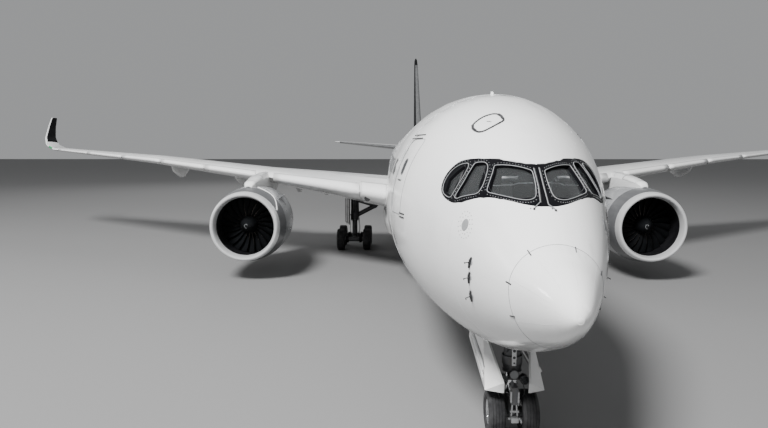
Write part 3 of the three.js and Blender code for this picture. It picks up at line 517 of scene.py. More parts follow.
def loop_through(points, steps=5):
    """A closed smooth loop through the points of a table."""
    count = len(points)
    return [blend([points[(i + k) % count] for k in (-1, 0, 1, 2)], step / steps)
            for i in range(count) for step in range(steps)]


def path_through(points, steps=6):
    """An open smooth path through the points of a table."""
    ends = [points[0], *points, points[-1]]
    fours = zip(ends, ends[1:], ends[2:], ends[3:])
    return [blend(four, step / steps) for four in fours for step in range(steps)] + [points[-1]]


def steps_between(first, last, count):
    return [first + (last - first) * i / count for i in range(count + 1)]


print("a loop of", len(loop_through([(0, 0), (1, 0), (1, 1)])), "points from three")

# %% Patches and discs
# one degree of angle counts as this many metres in the flat plane
DEGREE = 0.035


def face_outward(bm, faces, sample, outward):
    """Turns all faces when the sample face looks away from the outward direction."""
    if sample.normal.dot(outward) < 0:
        bmesh.ops.reverse_faces(bm, faces=faces)


def hull_patch(name, outline, holes, finish, lift, depth, cell=0.2):
    """Loops are (station, angle) pairs. The patch stands lift proud and has walls of depth."""
    bm = bmesh.new()
    for loop in (outline, *holes):
        verts = [bm.verts.new((angle * DEGREE, station, 0)) for station, angle in loop]
        for first, second in zip(verts, verts[1:] + verts[:1]):
            bm.edges.new((first, second))
    bmesh.ops.triangle_fill(bm, use_beauty=True, edges=bm.edges[:])
    for axis, normal in enumerate(((1, 0, 0), (0, 1, 0))):
        low = min(v.co[axis] for v in bm.verts)
        high = max(v.co[axis] for v in bm.verts)
        for k in range(math.ceil(low / cell), math.floor(high / cell) + 1):
            place = tuple(k * cell * n for n in normal)
            bmesh.ops.bisect_plane(bm, geom=bm.verts[:] + bm.edges[:] + bm.faces[:], dist=1e-5,
                                   plane_co=place, plane_no=normal)
    for vert in bm.verts:
        vert.co = on_hull(vert.co.y, vert.co.x / DEGREE, lift)
    bmesh.ops.recalc_face_normals(bm, faces=bm.faces)
    bm.normal_update()
    sample = bm.faces[0]
    centre = sample.calc_center_median()
    face_outward(bm, bm.faces, sample, to_skin(centre, 0.1) - centre)
    grown = bmesh.ops.extrude_face_region(bm, geom=bm.faces[:], use_keep_orig=True)
    for vert in grown["geom"]:
        if isinstance(vert, bmesh.types.BMVert):
            vert.co = to_skin(vert.co, lift - depth)
    bmesh.ops.recalc_face_normals(bm, faces=bm.faces)
    return finish_bmesh(name, bm, finish)


def skin_normal(station, degrees):
    across = on_hull(station, degrees + 1) - on_hull(station, degrees - 1)
    along = on_hull(station + 0.05, degrees) - on_hull(station - 0.05, degrees)
    normal = across.cross(along)
    outward = on_hull(station, degrees, 0.1) - on_hull(station, degrees)
    return normal.normalized() if normal.dot(outward) > 0 else -normal.normalized()


def facing(centre, direction):
    """The matrix that sets a piece on a point with its own Z along the direction."""
    return Matrix.Translation(centre) @ direction.to_track_quat("Z", "Y").to_matrix().to_4x4()


def disc(bm, centre, normal, radius, thick, segments=12):
    """A flat button of the given thickness that faces along the normal."""
    bmesh.ops.create_cone(bm, cap_ends=True, segments=segments, radius1=radius,
                          radius2=radius * 0.9, depth=thick * 2, matrix=facing(centre, normal))


def disc_on_hull(bm, station, degrees, lift, radius, thick, segments=12):
    disc(bm, on_hull(station, degrees, lift), skin_normal(station, degrees), radius, thick,
         segments)


print("drawing helpers ready")

# %% [markdown]
# The flight-deck windows of this aircraft sit in one black mask that sweeps round the nose like
# a pair of goggles. It is filled between a smooth outline and six rounded window holes, so its
# edges stay crisp from close by. The table gives its right half; the left one is mirrored.

# %% Windscreen mask
# station, angle from the crown
MASK_HALF = [
    (3.045, 0.0), (3.08, 6.5), (3.2, 13.4), (3.4, 20.6), (3.6, 26.0), (3.79, 31.0), (4.04, 36.4),
    (4.24, 41.0), (4.36, 44.4), (4.45, 48.8), (4.51, 54.0), (4.51, 59.0), (4.43, 63.2),
    (4.27, 65.1), (4.03, 65.4), (3.73, 63.9), (3.48, 59.9), (3.3, 55.7), (3.13, 51.3),
    (2.96, 47.0), (2.77, 41.4), (2.59, 35.5), (2.42, 28.7), (2.27, 21.2), (2.165, 12.9),
    (2.12, 5.4),
]
PANES = {
    "front": [
        (3.4, 28.0), (3.36, 25.8), (3.24, 20.9), (3.08, 13.8), (2.96, 8.0), (2.9, 5.2), (2.8, 4.8),
        (2.59, 5.3), (2.39, 6.9), (2.31, 9.4), (2.3, 14.6), (2.36, 20.9), (2.49, 27.9),
        (2.68, 35.0), (2.88, 40.4), (2.97, 41.5), (3.02, 40.7), (3.14, 36.0), (3.27, 31.6),
        (3.36, 29.4),
    ],
    "middle": [
        (3.89, 37.7), (3.78, 34.2), (3.66, 32.0), (3.52, 32.1), (3.36, 35.2), (3.21, 40.4),
        (3.15, 45.1), (3.18, 48.8), (3.35, 53.1), (3.57, 57.9), (3.68, 60.4), (3.78, 60.6),
        (3.77, 56.8), (3.77, 49.9), (3.84, 42.4),
    ],
    "rear": [
        (4.04, 41.0), (4.17, 42.8), (4.32, 47.2), (4.41, 52.6), (4.43, 58.2), (4.37, 62.2),
        (4.27, 63.9), (4.08, 63.9), (3.95, 63.0), (3.9, 61.1), (3.88, 55.0), (3.89, 48.5),
        (3.95, 43.4),
    ],
}
LOOP_STEPS = 3
mirrored_half = [(station, -angle) for station, angle in reversed(MASK_HALF[1:])]
mask_loop = loop_through(MASK_HALF + mirrored_half, LOOP_STEPS)
pane_loops = {
    (key, side): [(s, a * side) for s, a in loop_through(points, LOOP_STEPS)]
    for key, points in PANES.items() for side in (1, -1)
}
hull_patch("windscreen_mask", mask_loop, pane_loops.values(), "black_paint", lift=0.002,
           depth=0.022, cell=0.16)
seals = [[on_hull(s, a, 0.002) for s, a in loop] for loop in pane_loops.values()]
draw_lines("pane_seals", seals, "seal_grey", radius=0.0034, closed=True, round_steps=1)
print("mask and", len(pane_loops), "pane seals")

# %% [markdown]
# The solid frame under the mask has straight sides and looks out a little above the front
# panes, where a thin white skin covers it. Under the mask the white nose turns dark like the mask,
# and inside the nose it is painted dark as shade, so nothing pale shows in the corners of the
# windows.

# %% Brow and dark inside
# station, angle from the crown; the left side mirrors it
BROW = [(3.08, 1.0), (3.12, 7.5), (3.23, 13.6), (3.39, 19.4), (3.52, 22.5), (3.55, 20.5),
        (3.36, 12.0), (3.24, 1.0)]
DEEP_INSIDE = -0.02
for side_name, side in SIDES:
    hull_patch(side_name + "_brow", [(s, a * side) for s, a in BROW], (), "white_paint",
               lift=0.0016, depth=0.02, cell=0.16)


def inside_loop(loop, station, degrees):
    """Counts how often a line ahead of the point crosses the loop; an odd count is inside."""
    crossings = 0
    for (s1, a1), (s2, a2) in zip(loop, loop[1:] + loop[:1]):
        if (a1 > degrees) != (a2 > degrees):
            crossings += station < s1 + (s2 - s1) * (degrees - a1) / (a2 - a1)
    return crossings % 2 == 1


def under_mask(point):
    _, station, z = drawing_place(point)
    return inside_loop(mask_loop, station, angle_at(station, z))


# Faces deep inside the nose are painted dark as shade; faces under the mask are dark like its
# paint
nose_skin = bpy.data.objects["nose_section_skin"].data
nose_skin.materials.append(FINISHES["dark_seal"])
for face in nose_skin.polygons:
    corners = [nose_skin.vertices[index].co for index in face.vertices]
    if skin_depth(face.center) < DEEP_INSIDE or all(under_mask(corner) for corner in corners):
        face.material_index = 1
print("dark faces", sum(face.material_index for face in nose_skin.polygons))

# %% [markdown]
# Countersunk fasteners hold the black frame round each window. Each is only a small light dot,
# but together they draw the edge of every window, so they go round each hole at an even step, a
# little outside it.

# %% Fasteners round the windows
FASTENER_STEP = 0.075
FASTENER_OUT = 0.055


def beside_loop(loop, out, step):
    """Points at an even step beside a (station, angle) loop, out metres away from it."""
    flat = [Vector((a * DEGREE, s)) for s, a in loop]
    middle = sum(flat, Vector((0, 0))) / len(flat)
    points, carried = [], 0.0
    for first, second in zip(flat, flat[1:] + flat[:1]):
        edge = second - first
        if edge.length < 1e-6:
            continue
        side = Vector((edge.y, -edge.x)).normalized()
        if side.dot(first - middle) < 0:
            side = -side
        while carried < edge.length:
            spot = first + edge * (carried / edge.length) + side * out
            points.append((spot.y, spot.x / DEGREE))
            carried += step
        carried -= edge.length
    return points


bm = bmesh.new()
for loop in pane_loops.values():
    for station, angle in beside_loop(loop, FASTENER_OUT, FASTENER_STEP):
        disc_on_hull(bm, station, angle, 0.002, radius=0.0042, thick=0.0012, segments=6)
finish_bmesh("mask_fasteners", bm, "seal_grey")
print("fasteners", made["mask_fasteners"])

# %% [markdown]
# Two wipers rest upright along the centre post. Each has a pivot below the glass, an arm that
# bends up the post, and a thin rubber blade that lies on the skin beside it.

# %% Wipers
# station, angle from the crown, height over the skin in scene metres
WIPERS = [
    [(2.09, -12.6, 0.003), (2.11, -11.4, 0.012), (2.18, -5.6, 0.018), (2.52, -3.7, 0.018),
     (2.93, -3.2, 0.012)],
    [(2.04, 6.9, 0.003), (2.06, 5.8, 0.012), (2.12, 0.8, 0.018), (2.54, 0.5, 0.018),
     (2.94, 0.9, 0.012)],
]
# the blade starts at this point of the arm's table, this many degrees beside it
BLADE_START, BLADE_BESIDE = 2, 0.9
arms, blades = [], []
bm = bmesh.new()
for track in WIPERS:
    arms.append([on_hull(*spot) for spot in track])
    blades.append([on_hull(s, a + BLADE_BESIDE, 0.007) for s, a, _ in track[BLADE_START:]])
    station, angle, _ = track[0]
    normal = skin_normal(station, angle)
    disc(bm, on_hull(station, angle, 0.006), normal, radius=0.011, thick=0.006, segments=16)
    disc(bm, on_hull(station + 0.03, angle - 3, 0.004), normal, radius=0.006, thick=0.004)
draw_lines("wiper_arms", arms, "seam_grey", radius=0.0046, round_steps=2)
draw_lines("wiper_blades", blades, "rubber_hose", radius=0.0042, round_steps=1)
finish_bmesh("wiper_pivots", bm, "dark_seal")
print("wipers", len(arms))

# %% [markdown]
# An escape hatch is let into the crown behind the flight deck, to the right of the centre line.
# What shows of it is a dark seal round a rounded, slightly skewed panel, heavier at both ends,
# and one small handle.

# %% Crown hatch
# station, angle from the crown
HATCH = [
    (5.28, -25.5), (5.37, -22.6), (5.46, -17.5), (5.46, -12.2), (5.38, -9.6), (5.22, -8.4),
    (5.04, -8.2), (4.92, -9.4), (4.8, -15.4), (4.75, -21.0), (4.79, -24.2), (4.92, -26.1),
    (5.12, -26.7),
]
HATCH_ENDS = [
    [(4.96, -26.3), (5.12, -26.7), (5.27, -25.7)],
    [(5.35, -9.2), (5.22, -8.4), (5.04, -8.2)],
]
# station, angle from the crown, height over the skin in scene metres
HATCH_HANDLE = [(5.03, -15.6, 0.004), (5.08, -16.4, 0.008), (5.14, -17.6, 0.004)]
hatch_loop = loop_through(HATCH)
hull_patch("crown_hatch", hatch_loop, (), "white_paint", lift=0.0015, depth=0.004)
draw_lines("hatch_seal", [[on_hull(s, a, 0.001) for s, a in hatch_loop]], "dark_seal",
           radius=0.013, closed=True, round_steps=1)
draw_lines("hatch_ends", [[on_hull(s, a, 0.002) for s, a in end] for end in HATCH_ENDS],
           "dark_seal", radius=0.0175, round_steps=1)
draw_lines("hatch_handle", [[on_hull(*spot) for spot in HATCH_HANDLE]], "seam_grey",
           radius=0.005, round_steps=1)
print("hatch drawn")

# %% [markdown]
# The radome is the white nose cap over the weather radar. A thin joint runs round it, held by a
# few flush latches, and thin metal strips on it lead lightning back to the fuselage.

# %% Radome joint, latches and strips
RADOME_STATION = 1.4
# station, angle from the crown
LATCHES = [(1.385, -35.8), (1.34, 22.4), (1.41, -84.0), (1.43, -118.0), (1.4, 70.0),
           (1.42, 110.0)]
LATCH_HALF = 0.07
# first and last station of the strips, degrees of the first one and between two
STRIPS = (0.42, 1.32, 12, 45)
ring = [on_hull(RADOME_STATION, angle) for angle in range(0, 360, 6)]
draw_lines("radome_joint", [ring], "seam_grey", radius=0.003, closed=True)
latches = [[on_hull(station + shift, angle, 0.001) for shift in (-LATCH_HALF, 0, LATCH_HALF)]
           for station, angle in LATCHES]
draw_lines("radome_latches", latches, "dark_seal", radius=0.0062, round_steps=1)
first, last, start, turn = STRIPS
strips = [[on_hull(s, angle + start) for s in steps_between(first, last, 6)]
          for angle in range(0, 360, turn)]
draw_lines("lightning_strips", strips, "seam_light", radius=0.0012)
print("radome dressed")

# %% [markdown]
# The fuselage is built in barrels and long panels. Their butt joints are thin grey lines: rings
# where two barrels meet, and a few long lines where panels overlap. A ring is left out where
# the windows or the wing box cross it, and the long lines end at the tapered tail.

# %% Panel joints of the fuselage
# stations, first and last degree from the crown, degrees between two points
BARREL_JOINTS = [
    ((3.55,), 72, 288, 6), ((8.05, 13.0), 0, 360, 5), ((19.2, 41.2), -100, 100, 5),
    ((46.0, 50.6, 55.9, 60.4, 63.4), 0, 360, 5),
]
# first and last station, angle from the crown
LONG_JOINTS = [(4.9, 60.0, 38), (8.05, 60.0, 84), (8.05, 52.0, 118), (8.05, 50.0, 152)]
rings = [[on_hull(station, angle) for angle in range(first, last + 1, step)]
         for stations, first, last, step in BARREL_JOINTS for station in stations]
draw_lines("barrel_joints", rings, "seam_light", radius=0.0024)
long_lines = [[on_hull(s, angle * side) for s in steps_between(first, last, 60)]
              for first, last, angle in LONG_JOINTS for side in (1, -1)]
draw_lines("long_joints", long_lines, "seam_light", radius=0.0018)

# %% [markdown]
# Each passenger door is a rounded panel with a small window and a recessed handle, and a short
# gutter over it keeps rain off the opening. The doors stay shut: each moves out and then
# sideways, which is not one hinge. One table gives their stations and sills.

# %% Passenger doors
# middle station, sill z, top z, half width
DOORS = [
    (7.15, 5.02, 6.93, 0.52), (19.9, 5.1, 7.02, 0.52), (38.9, 5.1, 7.02, 0.52),
    (54.2, 5.12, 6.98, 0.5),
]
DOOR_CORNER = 0.14
# measured from the door's sill (0) or top (1) and from its middle: which one, height over it,
# first and last station, lift in scene metres, number of steps
GUTTERS = [(1, 0.02, -0.22, 0.7, 0.004, 8), (1, 0.11, -0.22, 0.7, 0.004, 8),
           (0, -0.05, -0.88, -0.47, 0.003, 4), (0, 0.04, -0.88, -0.47, 0.003, 4)]
HANDLE_Z, HANDLE_HALF = 0.86, 0.16
DOOR_WINDOW_Z = 1.2


def on_side(station, z, side, lift=0.0):
    return on_hull(station, angle_at(station, z) * side, lift)


def line_on_side(first, last, z, side, lift, count):
    return [on_side(s, z, side, lift) for s in steps_between(first, last, count)]


def rounded_box(s0, s1, z0, z1, corner, steps=4):
    """A loop of (station, z) pairs: a rectangle with round corners."""
    loop = []
    for cs, cz, start in ((s1 - corner, z1 - corner, 0), (s0 + corner, z1 - corner, 90),
                          (s0 + corner, z0 + corner, 180), (s1 - corner, z0 + corner, 270)):
        for k in range(steps + 1):
            turn = math.radians(start + 90 * k / steps)
            loop.append((cs + corner * math.cos(turn), cz + corner * math.sin(turn)))
    return loop


def with_points(loop, longest=0.15):
    """Extra points on a loop's long edges, so that a line follows the round skin."""
    full = []
    for (s0, z0), (s1, z1) in zip(loop, loop[1:] + loop[:1]):
        count = max(1, math.ceil(math.hypot(s1 - s0, z1 - z0) / longest))
        full += [(s0 + (s1 - s0) * k / count, z0 + (z1 - z0) * k / count) for k in range(count)]
    return full


outlines, gutters, handles, door_windows = [], [], [], []
for middle, sill, top, half in DOORS:
    outline = with_points(rounded_box(middle - half, middle + half, sill, top, DOOR_CORNER))
    for _, side in SIDES:
        outlines.append([on_side(s, z, side) for s, z in outline])
        for edge, rise, first, last, lift, count in GUTTERS:
            gutters.append(line_on_side(middle + first, middle + last, (sill, top)[edge] + rise,
                                        side, lift, count))
        handles.append(line_on_side(middle - HANDLE_HALF, middle + HANDLE_HALF,
                                    sill + HANDLE_Z, side, 0.004, 3))
        door_windows.append((middle, sill + DOOR_WINDOW_Z, side))
draw_lines("door_outlines", outlines, "seam_grey", radius=0.005, closed=True)
draw_lines("door_gutters", gutters, "dark_seal", radius=0.0075, round_steps=1)
draw_lines("door_handles", handles, "bare_metal", radius=0.009, round_steps=2)
print("doors", len(outlines))

# %% [markdown]
# A cabin window is a pane set a little behind a polished oval frame. The frame is a row of
# loops, each a little smaller than the one before, with the bands between them bridged. The
# innermost loop is filled as the pane. The row of windows is broken only by the doors.

# %% Cabin windows
WINDOW_Z = 6.2
WINDOW_PITCH = 0.635
WINDOW_HALF = (0.125, 0.19)
WINDOW_CORNER = 0.92
# first and last station of each run of windows
WINDOW_RUNS = [(8.6, 18.9), (21.05, 37.9), (40.05, 53.3)]
# size as a share of the window, height over the skin in scene metres
FRAME_RIMS = [(1.16, -0.002), (1.1, 0.003), (0.96, 0.0025), (0.9, -0.002)]
PANE_RIM = (0.95, 0.0012)


def window_loop(bm, station, z, side, share, lift):
    half_s, half_z = (half * share for half in WINDOW_HALF)
    loop = rounded_box(station - half_s, station + half_s, z - half_z, z + half_z,
                       half_s * WINDOW_CORNER, 3)
    return [bm.verts.new(on_side(s, height, side, lift)) for s, height in loop]


def loop_edges(bm, rim):
    pairs = list(zip(rim, rim[1:] + rim[:1]))
    return [bm.edges.get(pair) or bm.edges.new(pair) for pair in pairs]


frames, panes = bmesh.new(), bmesh.new()
spots = list(door_windows)
for first, last in WINDOW_RUNS:
    station = first
    while station < last:
        spots += [(station, WINDOW_Z, 1), (station, WINDOW_Z, -1)]
        station += WINDOW_PITCH
for station, z, side in spots:
    rims = [window_loop(frames, station, z, side, *rim) for rim in FRAME_RIMS]
    for outer, inner in zip(rims, rims[1:]):
        edges = loop_edges(frames, outer) + loop_edges(frames, inner)
        bmesh.ops.bridge_loops(frames, edges=edges)
    panes.faces.new(window_loop(panes, station, z, side, *PANE_RIM))
for bm in (frames, panes):
    bmesh.ops.recalc_face_normals(bm, faces=bm.faces)
for face in panes.faces:
    centre = face.calc_center_median()
    if face.normal.dot(to_skin(centre, 0.1) - centre) < 0:
        face.normal_flip()
finish_bmesh("window_frames", frames, "bare_metal")
# The panes are painted nearly black, as shade of the cabin behind them
finish_bmesh("window_panes", panes, "window_pane")
print("windows", len(spots))

# %% [markdown]
# Small sensors sit on the nose: a round static plate inside rings of witness dots, and three
# pitot and angle-of-attack probes in a row below it. They are placed by station and angle on
# both sides. Those of the right side stand out further, and each has a dark body lying on the
# skin at its root.

# %% Probes and plates
# station, angle from the crown
PLATE = (3.06, 68.7)
# radius of a ring in metres of the drawing, number of dots
DOT_RINGS = [(0.17, 12), (0.25, 18)]
METRES_A_DEGREE = 0.031
# station, angle from the crown
PROBES = [(2.6, 87.2), (2.65, 97.8), (2.72, 110.8)]
# the dark body at a probe's root: shift aft, shift in angle, height over the skin in scene metres
PROBE_BODY = [(-0.02, -3.6, 0.004), (0.0, -1.6, 0.012), (0.01, 0.6, 0.014), (0.06, 4.2, 0.004)]
REACH = {"left": 0.012, "right": 0.072}
NEEDLE = Vector((0, -0.05, 0))
plates, dots, dark_bodies, needles = bmesh.new(), bmesh.new(), [], []
for side_name, side in SIDES:
    station, angle = PLATE
    disc_on_hull(plates, station, angle * side, 0.001, radius=0.062, thick=0.0025, segments=32)
    for ring_radius, count in DOT_RINGS:
        for k in range(count):
            turn = math.tau * k / count
            disc_on_hull(dots, station + ring_radius * math.sin(turn),
                         (angle + ring_radius * math.cos(turn) / METRES_A_DEGREE) * side,
                         0.0005, radius=0.0065, thick=0.0012, segments=8)
    for station, angle in PROBES:
        root = on_hull(station, angle * side)
        normal = skin_normal(station, angle * side)
        elbow = root + normal * REACH[side_name]
        needles.append([root + normal * 0.002, elbow, elbow + NEEDLE])
        if side_name == "right":
            dark_bodies.append([on_hull(station + shift, (angle + turn) * side, height)
                          for shift, turn, height in PROBE_BODY])
        disc(plates, root, normal, radius=0.03, thick=0.0025, segments=20)
draw_lines("probe_masts", dark_bodies, "dark_seal", radius=0.012, round_steps=2)
draw_lines("probe_needles", needles, "dark_seal", radius=0.0048, round_steps=2)
finish_bmesh("static_plates", plates, "seam_grey")
finish_bmesh("witness_dots", dots, "seam_grey")
print("probes", len(needles))

# %% [markdown]
# Blade antennas stand on the crown and hang under the belly. Each is a thin swept fin: a small
# cube stretched to a plate, its free edge moved aft and narrowed, and its edges rounded by a
# bevel.

# %% Antennas
# station, angle from the crown, height, chord
ANTENNAS = [
    (8.55, 0, 0.09, 0.2), (14.6, 0, 0.2, 0.3), (23.0, 0, 0.36, 0.4), (33.5, 0, 0.3, 0.36),
    (12.2, 180, 0.34, 0.4), (16.4, 180, 0.3, 0.36), (44.6, 180, 0.34, 0.4),
]
ANTENNA_THICK, ANTENNA_TAPER, ANTENNA_SWEEP, ANTENNA_SUNK = 0.02, 0.55, 0.45, 0.01


def rounded_edges(bm, verts, offset):
    whole = set(verts)
    edges = [edge for edge in bm.edges if whole.issuperset(edge.verts)]
    bmesh.ops.bevel(bm, geom=edges, offset=offset, segments=2, profile=0.5, affect="EDGES",
                    material=-1)


def blade_fin(bm, root, up, height, chord):
    cube = bmesh.ops.create_cube(bm, size=1)["verts"]
    side = up.cross(Vector((0, 1, 0))).normalized()
    for vert in cube:
        x, y, z = vert.co
        narrow = ANTENNA_TAPER if z > 0 else 1.0
        shift = ANTENNA_SWEEP * height if z > 0 else 0
        vert.co = (root + side * x * ANTENNA_THICK * narrow
                   + Vector((0, y * chord * narrow + shift, 0))
                   + up * ((z + 0.5) * height - ANTENNA_SUNK))
    rounded_edges(bm, cube, ANTENNA_THICK * 0.3)


bm = bmesh.new()
for station, angle, height, chord in ANTENNAS:
    blade_fin(bm, on_hull(station, angle), skin_normal(station, angle), height * HALF,
              chord * HALF)
finish_bmesh("blade_antennas", bm, "white_paint")
print("antennas", len(ANTENNAS))

# %% [markdown]
# A beacon is a turned lamp on a round base, one on the crown and one under the belly. Turning
# means that a profile of radius and place along the axis is spun once about it. The blunt tip
# of the radome is closed by a small turned cap as well.

# %% Radome tip and beacons
TIP_CAP = [(0, -0.006), (0.012, -0.0052), (0.024, -0.0015), (0.034, 0.004), (0, 0.004)]
BEACON = [(0, 0.07), (0.02, 0.066), (0.036, 0.05), (0.042, 0.02), (0.042, 0), (0, 0)]
AFT, UP, DOWN = Vector((0, 1, 0)), Vector((0, 0, 1)), Vector((0, 0, -1))
# where it stands, which way it looks
BEACONS = [(on_hull(26.5, 0), UP), (at(0, 25.0, 1.66), DOWN)]


def spun(profile, centre, axis, segments):
    """A closed surface of revolution. profile is (radius, place along the axis) in metres."""
    bm = bmesh.new()
    verts = [bm.verts.new((radius, 0, along)) for radius, along in profile]
    edges = [bm.edges.new(pair) for pair in zip(verts, verts[1:])]
    bmesh.ops.spin(bm, geom=verts + edges, cent=(0, 0, 0), axis=(0, 0, 1), angle=math.tau,
                   steps=segments, use_merge=True)
    bmesh.ops.remove_doubles(bm, verts=bm.verts, dist=1e-5)
    bmesh.ops.recalc_face_normals(bm, faces=bm.faces)
    bmesh.ops.transform(bm, verts=bm.verts, matrix=facing(centre, axis))
    return bm


def merge_into(target, source):
    mesh = bpy.data.meshes.new("part")
    source.to_mesh(mesh)
    source.free()
    target.from_mesh(mesh)
    bpy.data.meshes.remove(mesh)


finish_bmesh("radome_tip", spun(TIP_CAP, at(0, 0, 4.115), AFT, 32), "white_paint")
beacons, bases = bmesh.new(), bmesh.new()
for root, normal in BEACONS:
    merge_into(beacons, spun(BEACON, root, normal, 20))
    disc(bases, root, normal, radius=0.06, thick=0.01, segments=24)
finish_bmesh("beacons", beacons, "red_lens")
finish_bmesh("beacon_bases", bases, "bare_metal")
print("beacons", len(BEACONS))

# %% [markdown]
# Close behind the front panes the cover over the instruments shows as a pale edge that steps up
# in the middle, with a head rest above it. That pale edge is a painted highlight, light caught
# along the cover's edge. A small round lamp sits in each inner lower corner.

# %% Flight-deck interior
# x, station and z; the left side mirrors it
COVER_EDGE = [(0.82, 3.1, 5.95), (0.49, 2.86, 5.975), (0.38, 2.85, 6.01), (0.12, 2.77, 6.02)]
HEAD_REST = [(0.64, 3.12, 6.09), (0.5, 3.03, 6.1), (0.37, 2.95, 6.09)]
# station, angle from the crown
CORNER_LAMP = (2.335, 8.2)
edges, rests, knobs = [], [], bmesh.new()
for _, side in SIDES:
    edges.append([at(x * side, station, z) for x, station, z in COVER_EDGE])
    rests.append([at(x * side, station, z) for x, station, z in HEAD_REST])
    station, angle = CORNER_LAMP
    disc_on_hull(knobs, station, angle * side, -0.02, radius=0.014, thick=0.012, segments=16)
# The pale line is a painted highlight along the cover's edge
draw_lines("cover_edge", edges, "seam_light", radius=0.0065, round_steps=1)
draw_lines("head_rests", rests, "seam_grey", radius=0.024, round_steps=3)
finish_bmesh("corner_lamps", knobs, "lens")
print("flight deck dressed")

# %% [markdown]
# Wings, fin and tailplanes are aerofoils: a row of sections, each with its leading edge, chord
# and thickness. With the tables of the solids, a point of any of these surfaces is named by its
# place in the row and its share of the chord. The leading edges get a finely rounded cover.

# %% Aerofoils as a formula
# x, leading edge station, chord, z, thickness ratio, cant in degrees
WING = [
    (1.6, 21.0, 14.5, 4.25, 0.125, 0), (2.9, 21.9, 13.6, 4.35, 0.125, 0),
    (6.5, 24.4, 10.95, 4.76, 0.118, 0), (10.3, 27.0, 8.2, 5.15, 0.11, 0),
    (19.4, 33.5, 5.6, 6.0, 0.105, 0), (27.0, 38.85, 3.4, 6.52, 0.1, 2),
    (30.3, 41.15, 2.5, 6.75, 0.1, 10), (31.35, 42.1, 2.05, 7.1, 0.1, 34),
    (31.95, 43.1, 1.65, 7.7, 0.1, 58), (32.26, 44.2, 1.2, 8.6, 0.1, 77),
    (32.325, 44.95, 0.85, 9.5, 0.1, 86),
]
FIN = [
    (0, 53.2, 9.9, 7.2, 0.085, 90), (0, 54.3, 8.75, 8.4, 0.09, 90),
    (0, 61.2, 4.1, 16.2, 0.09, 90), (0, 62.1, 3.35, 16.85, 0.085, 90),
    (0, 62.75, 2.6, 17.05, 0.05, 90),
]
TAIL = [
    (0.35, 57.6, 6.3, 6.85, 0.1, 0), (1.2, 58.2, 5.75, 6.92, 0.1, 0),
    (8.9, 63.5, 2.45, 7.62, 0.09, 0), (9.4, 64.15, 1.85, 7.68, 0.06, 0),
]
# the columns that a place along a surface can be named by
X, Z = 0, 3
# half the thickness of a trailing edge
TRAILING_HALF = 0.009


def foil_row(rows, column, where):
    """A row of a table at any place, on straight lines between its rows."""
    k = 0
    while k < len(rows) - 2 and rows[k + 1][column] < where:
        k += 1
    t = (where - rows[k][column]) / (rows[k + 1][column] - rows[k][column])
    return [first + t * (second - first) for first, second in zip(rows[k], rows[k + 1])]


def on_foil(rows, column, where, share, face, side=1, lift=0.0, ahead=0.0):
    """face is 1 above, -1 below and 0 on the chord; ahead moves the point forward."""
    x, leading, chord, z, ratio, cant = foil_row(rows, column, where)
    shape = (0.2969 * math.sqrt(share) - 0.126 * share - 0.3516 * share**2
             + 0.2843 * share**3 - 0.1036 * share**4)
    half = 5 * ratio * chord * shape + TRAILING_HALF * math.sqrt(share) + lift / HALF
    lean = math.radians(cant)
    point = at(x - math.sin(lean) * half * face, leading + share * chord - ahead / HALF,
               z + math.cos(lean) * half * face)
    return Vector((point.x * side, point.y, point.z))


def sheet(bm, across, along, place, outward):
    """A grid whose points are placed by a function of (u, v); its faces look outward."""
    grid = bmesh.ops.create_grid(bm, x_segments=across, y_segments=along, size=0.5)["verts"]
    for vert in grid:
        vert.co = place(vert.co.x + 0.5, vert.co.y + 0.5)
    placed = set(grid)
    faces = [face for face in bm.faces if placed.issuperset(face.verts)]
    bmesh.ops.recalc_face_normals(bm, faces=faces)
    middle = max(faces, key=lambda face: face.calc_area())
    middle.normal_update()
    face_outward(bm, faces, middle, outward)


def add_thickness(piece, depth):
    """The sheet keeps its outer face and grows inward."""
    modifier = piece.modifiers.new("thickness", "SOLIDIFY")
    modifier.thickness = depth
    modifier.offset = -1


print("wing tip at", on_foil(WING, X, 30.3, 0, 0))

# %% [markdown]
# The front edge of each wing is a row of slats that slide forward for landing. They are shut
# here, so a slat is a thin cover round the leading edge with a joint behind it. Nearest to the
# fuselage a fixed panel takes their place. The wing tips, the tailplanes and the fin get a
# cover of the same kind.

# %% Leading edges
UPPER_SHARE, LOWER_SHARE = 0.035, 0.07
# first and last x
SLATS = [(4.47, 9.62), (10.85, 14.66), (14.74, 18.46), (18.54, 22.26), (22.34, 26.06),
         (26.14, 29.6)]
# name, finish, wall and its covers: rows, column, span, shares above and below, columns
EDGE_COVERS = [
    ("slats", "white_paint", 0.006,
     [(WING, X, span, (UPPER_SHARE, LOWER_SHARE), 8) for span in SLATS]),
    ("root_panel", "white_paint", 0.006, [(WING, X, (3.05, 4.42), (0.06, 0.09), 8)]),
    ("tip_edge", "white_paint", 0.004, [(WING, X, (29.68, 31.3), (0.03, 0.03), 10),
                                        (WING, Z, (7.14, 9.46), (0.07, 0.03), 16)]),
    ("tailplane_edge", "bare_metal", 0.004, [(TAIL, X, (1.0, 8.8), (0.06, 0.06), 12)]),
]
FIN_COVER = (FIN, Z, (8.5, 16.1), (0.05, 0.05), 12)


def leading_edge(bm, side, rows, column, span, shares, columns, lift=0.004):
    def place(u, v):
        v = 2 * v - 1
        face = (v > 1e-6) - (v < -1e-6)
        share = (shares[0] if face > 0 else shares[1]) * v * v
        return on_foil(rows, column, span[0] + u * (span[1] - span[0]), share, face, side,
                       lift if face else 0, lift * (1 - abs(v)))
    sheet(bm, columns, 20, place, Vector((0, -1, 0)))


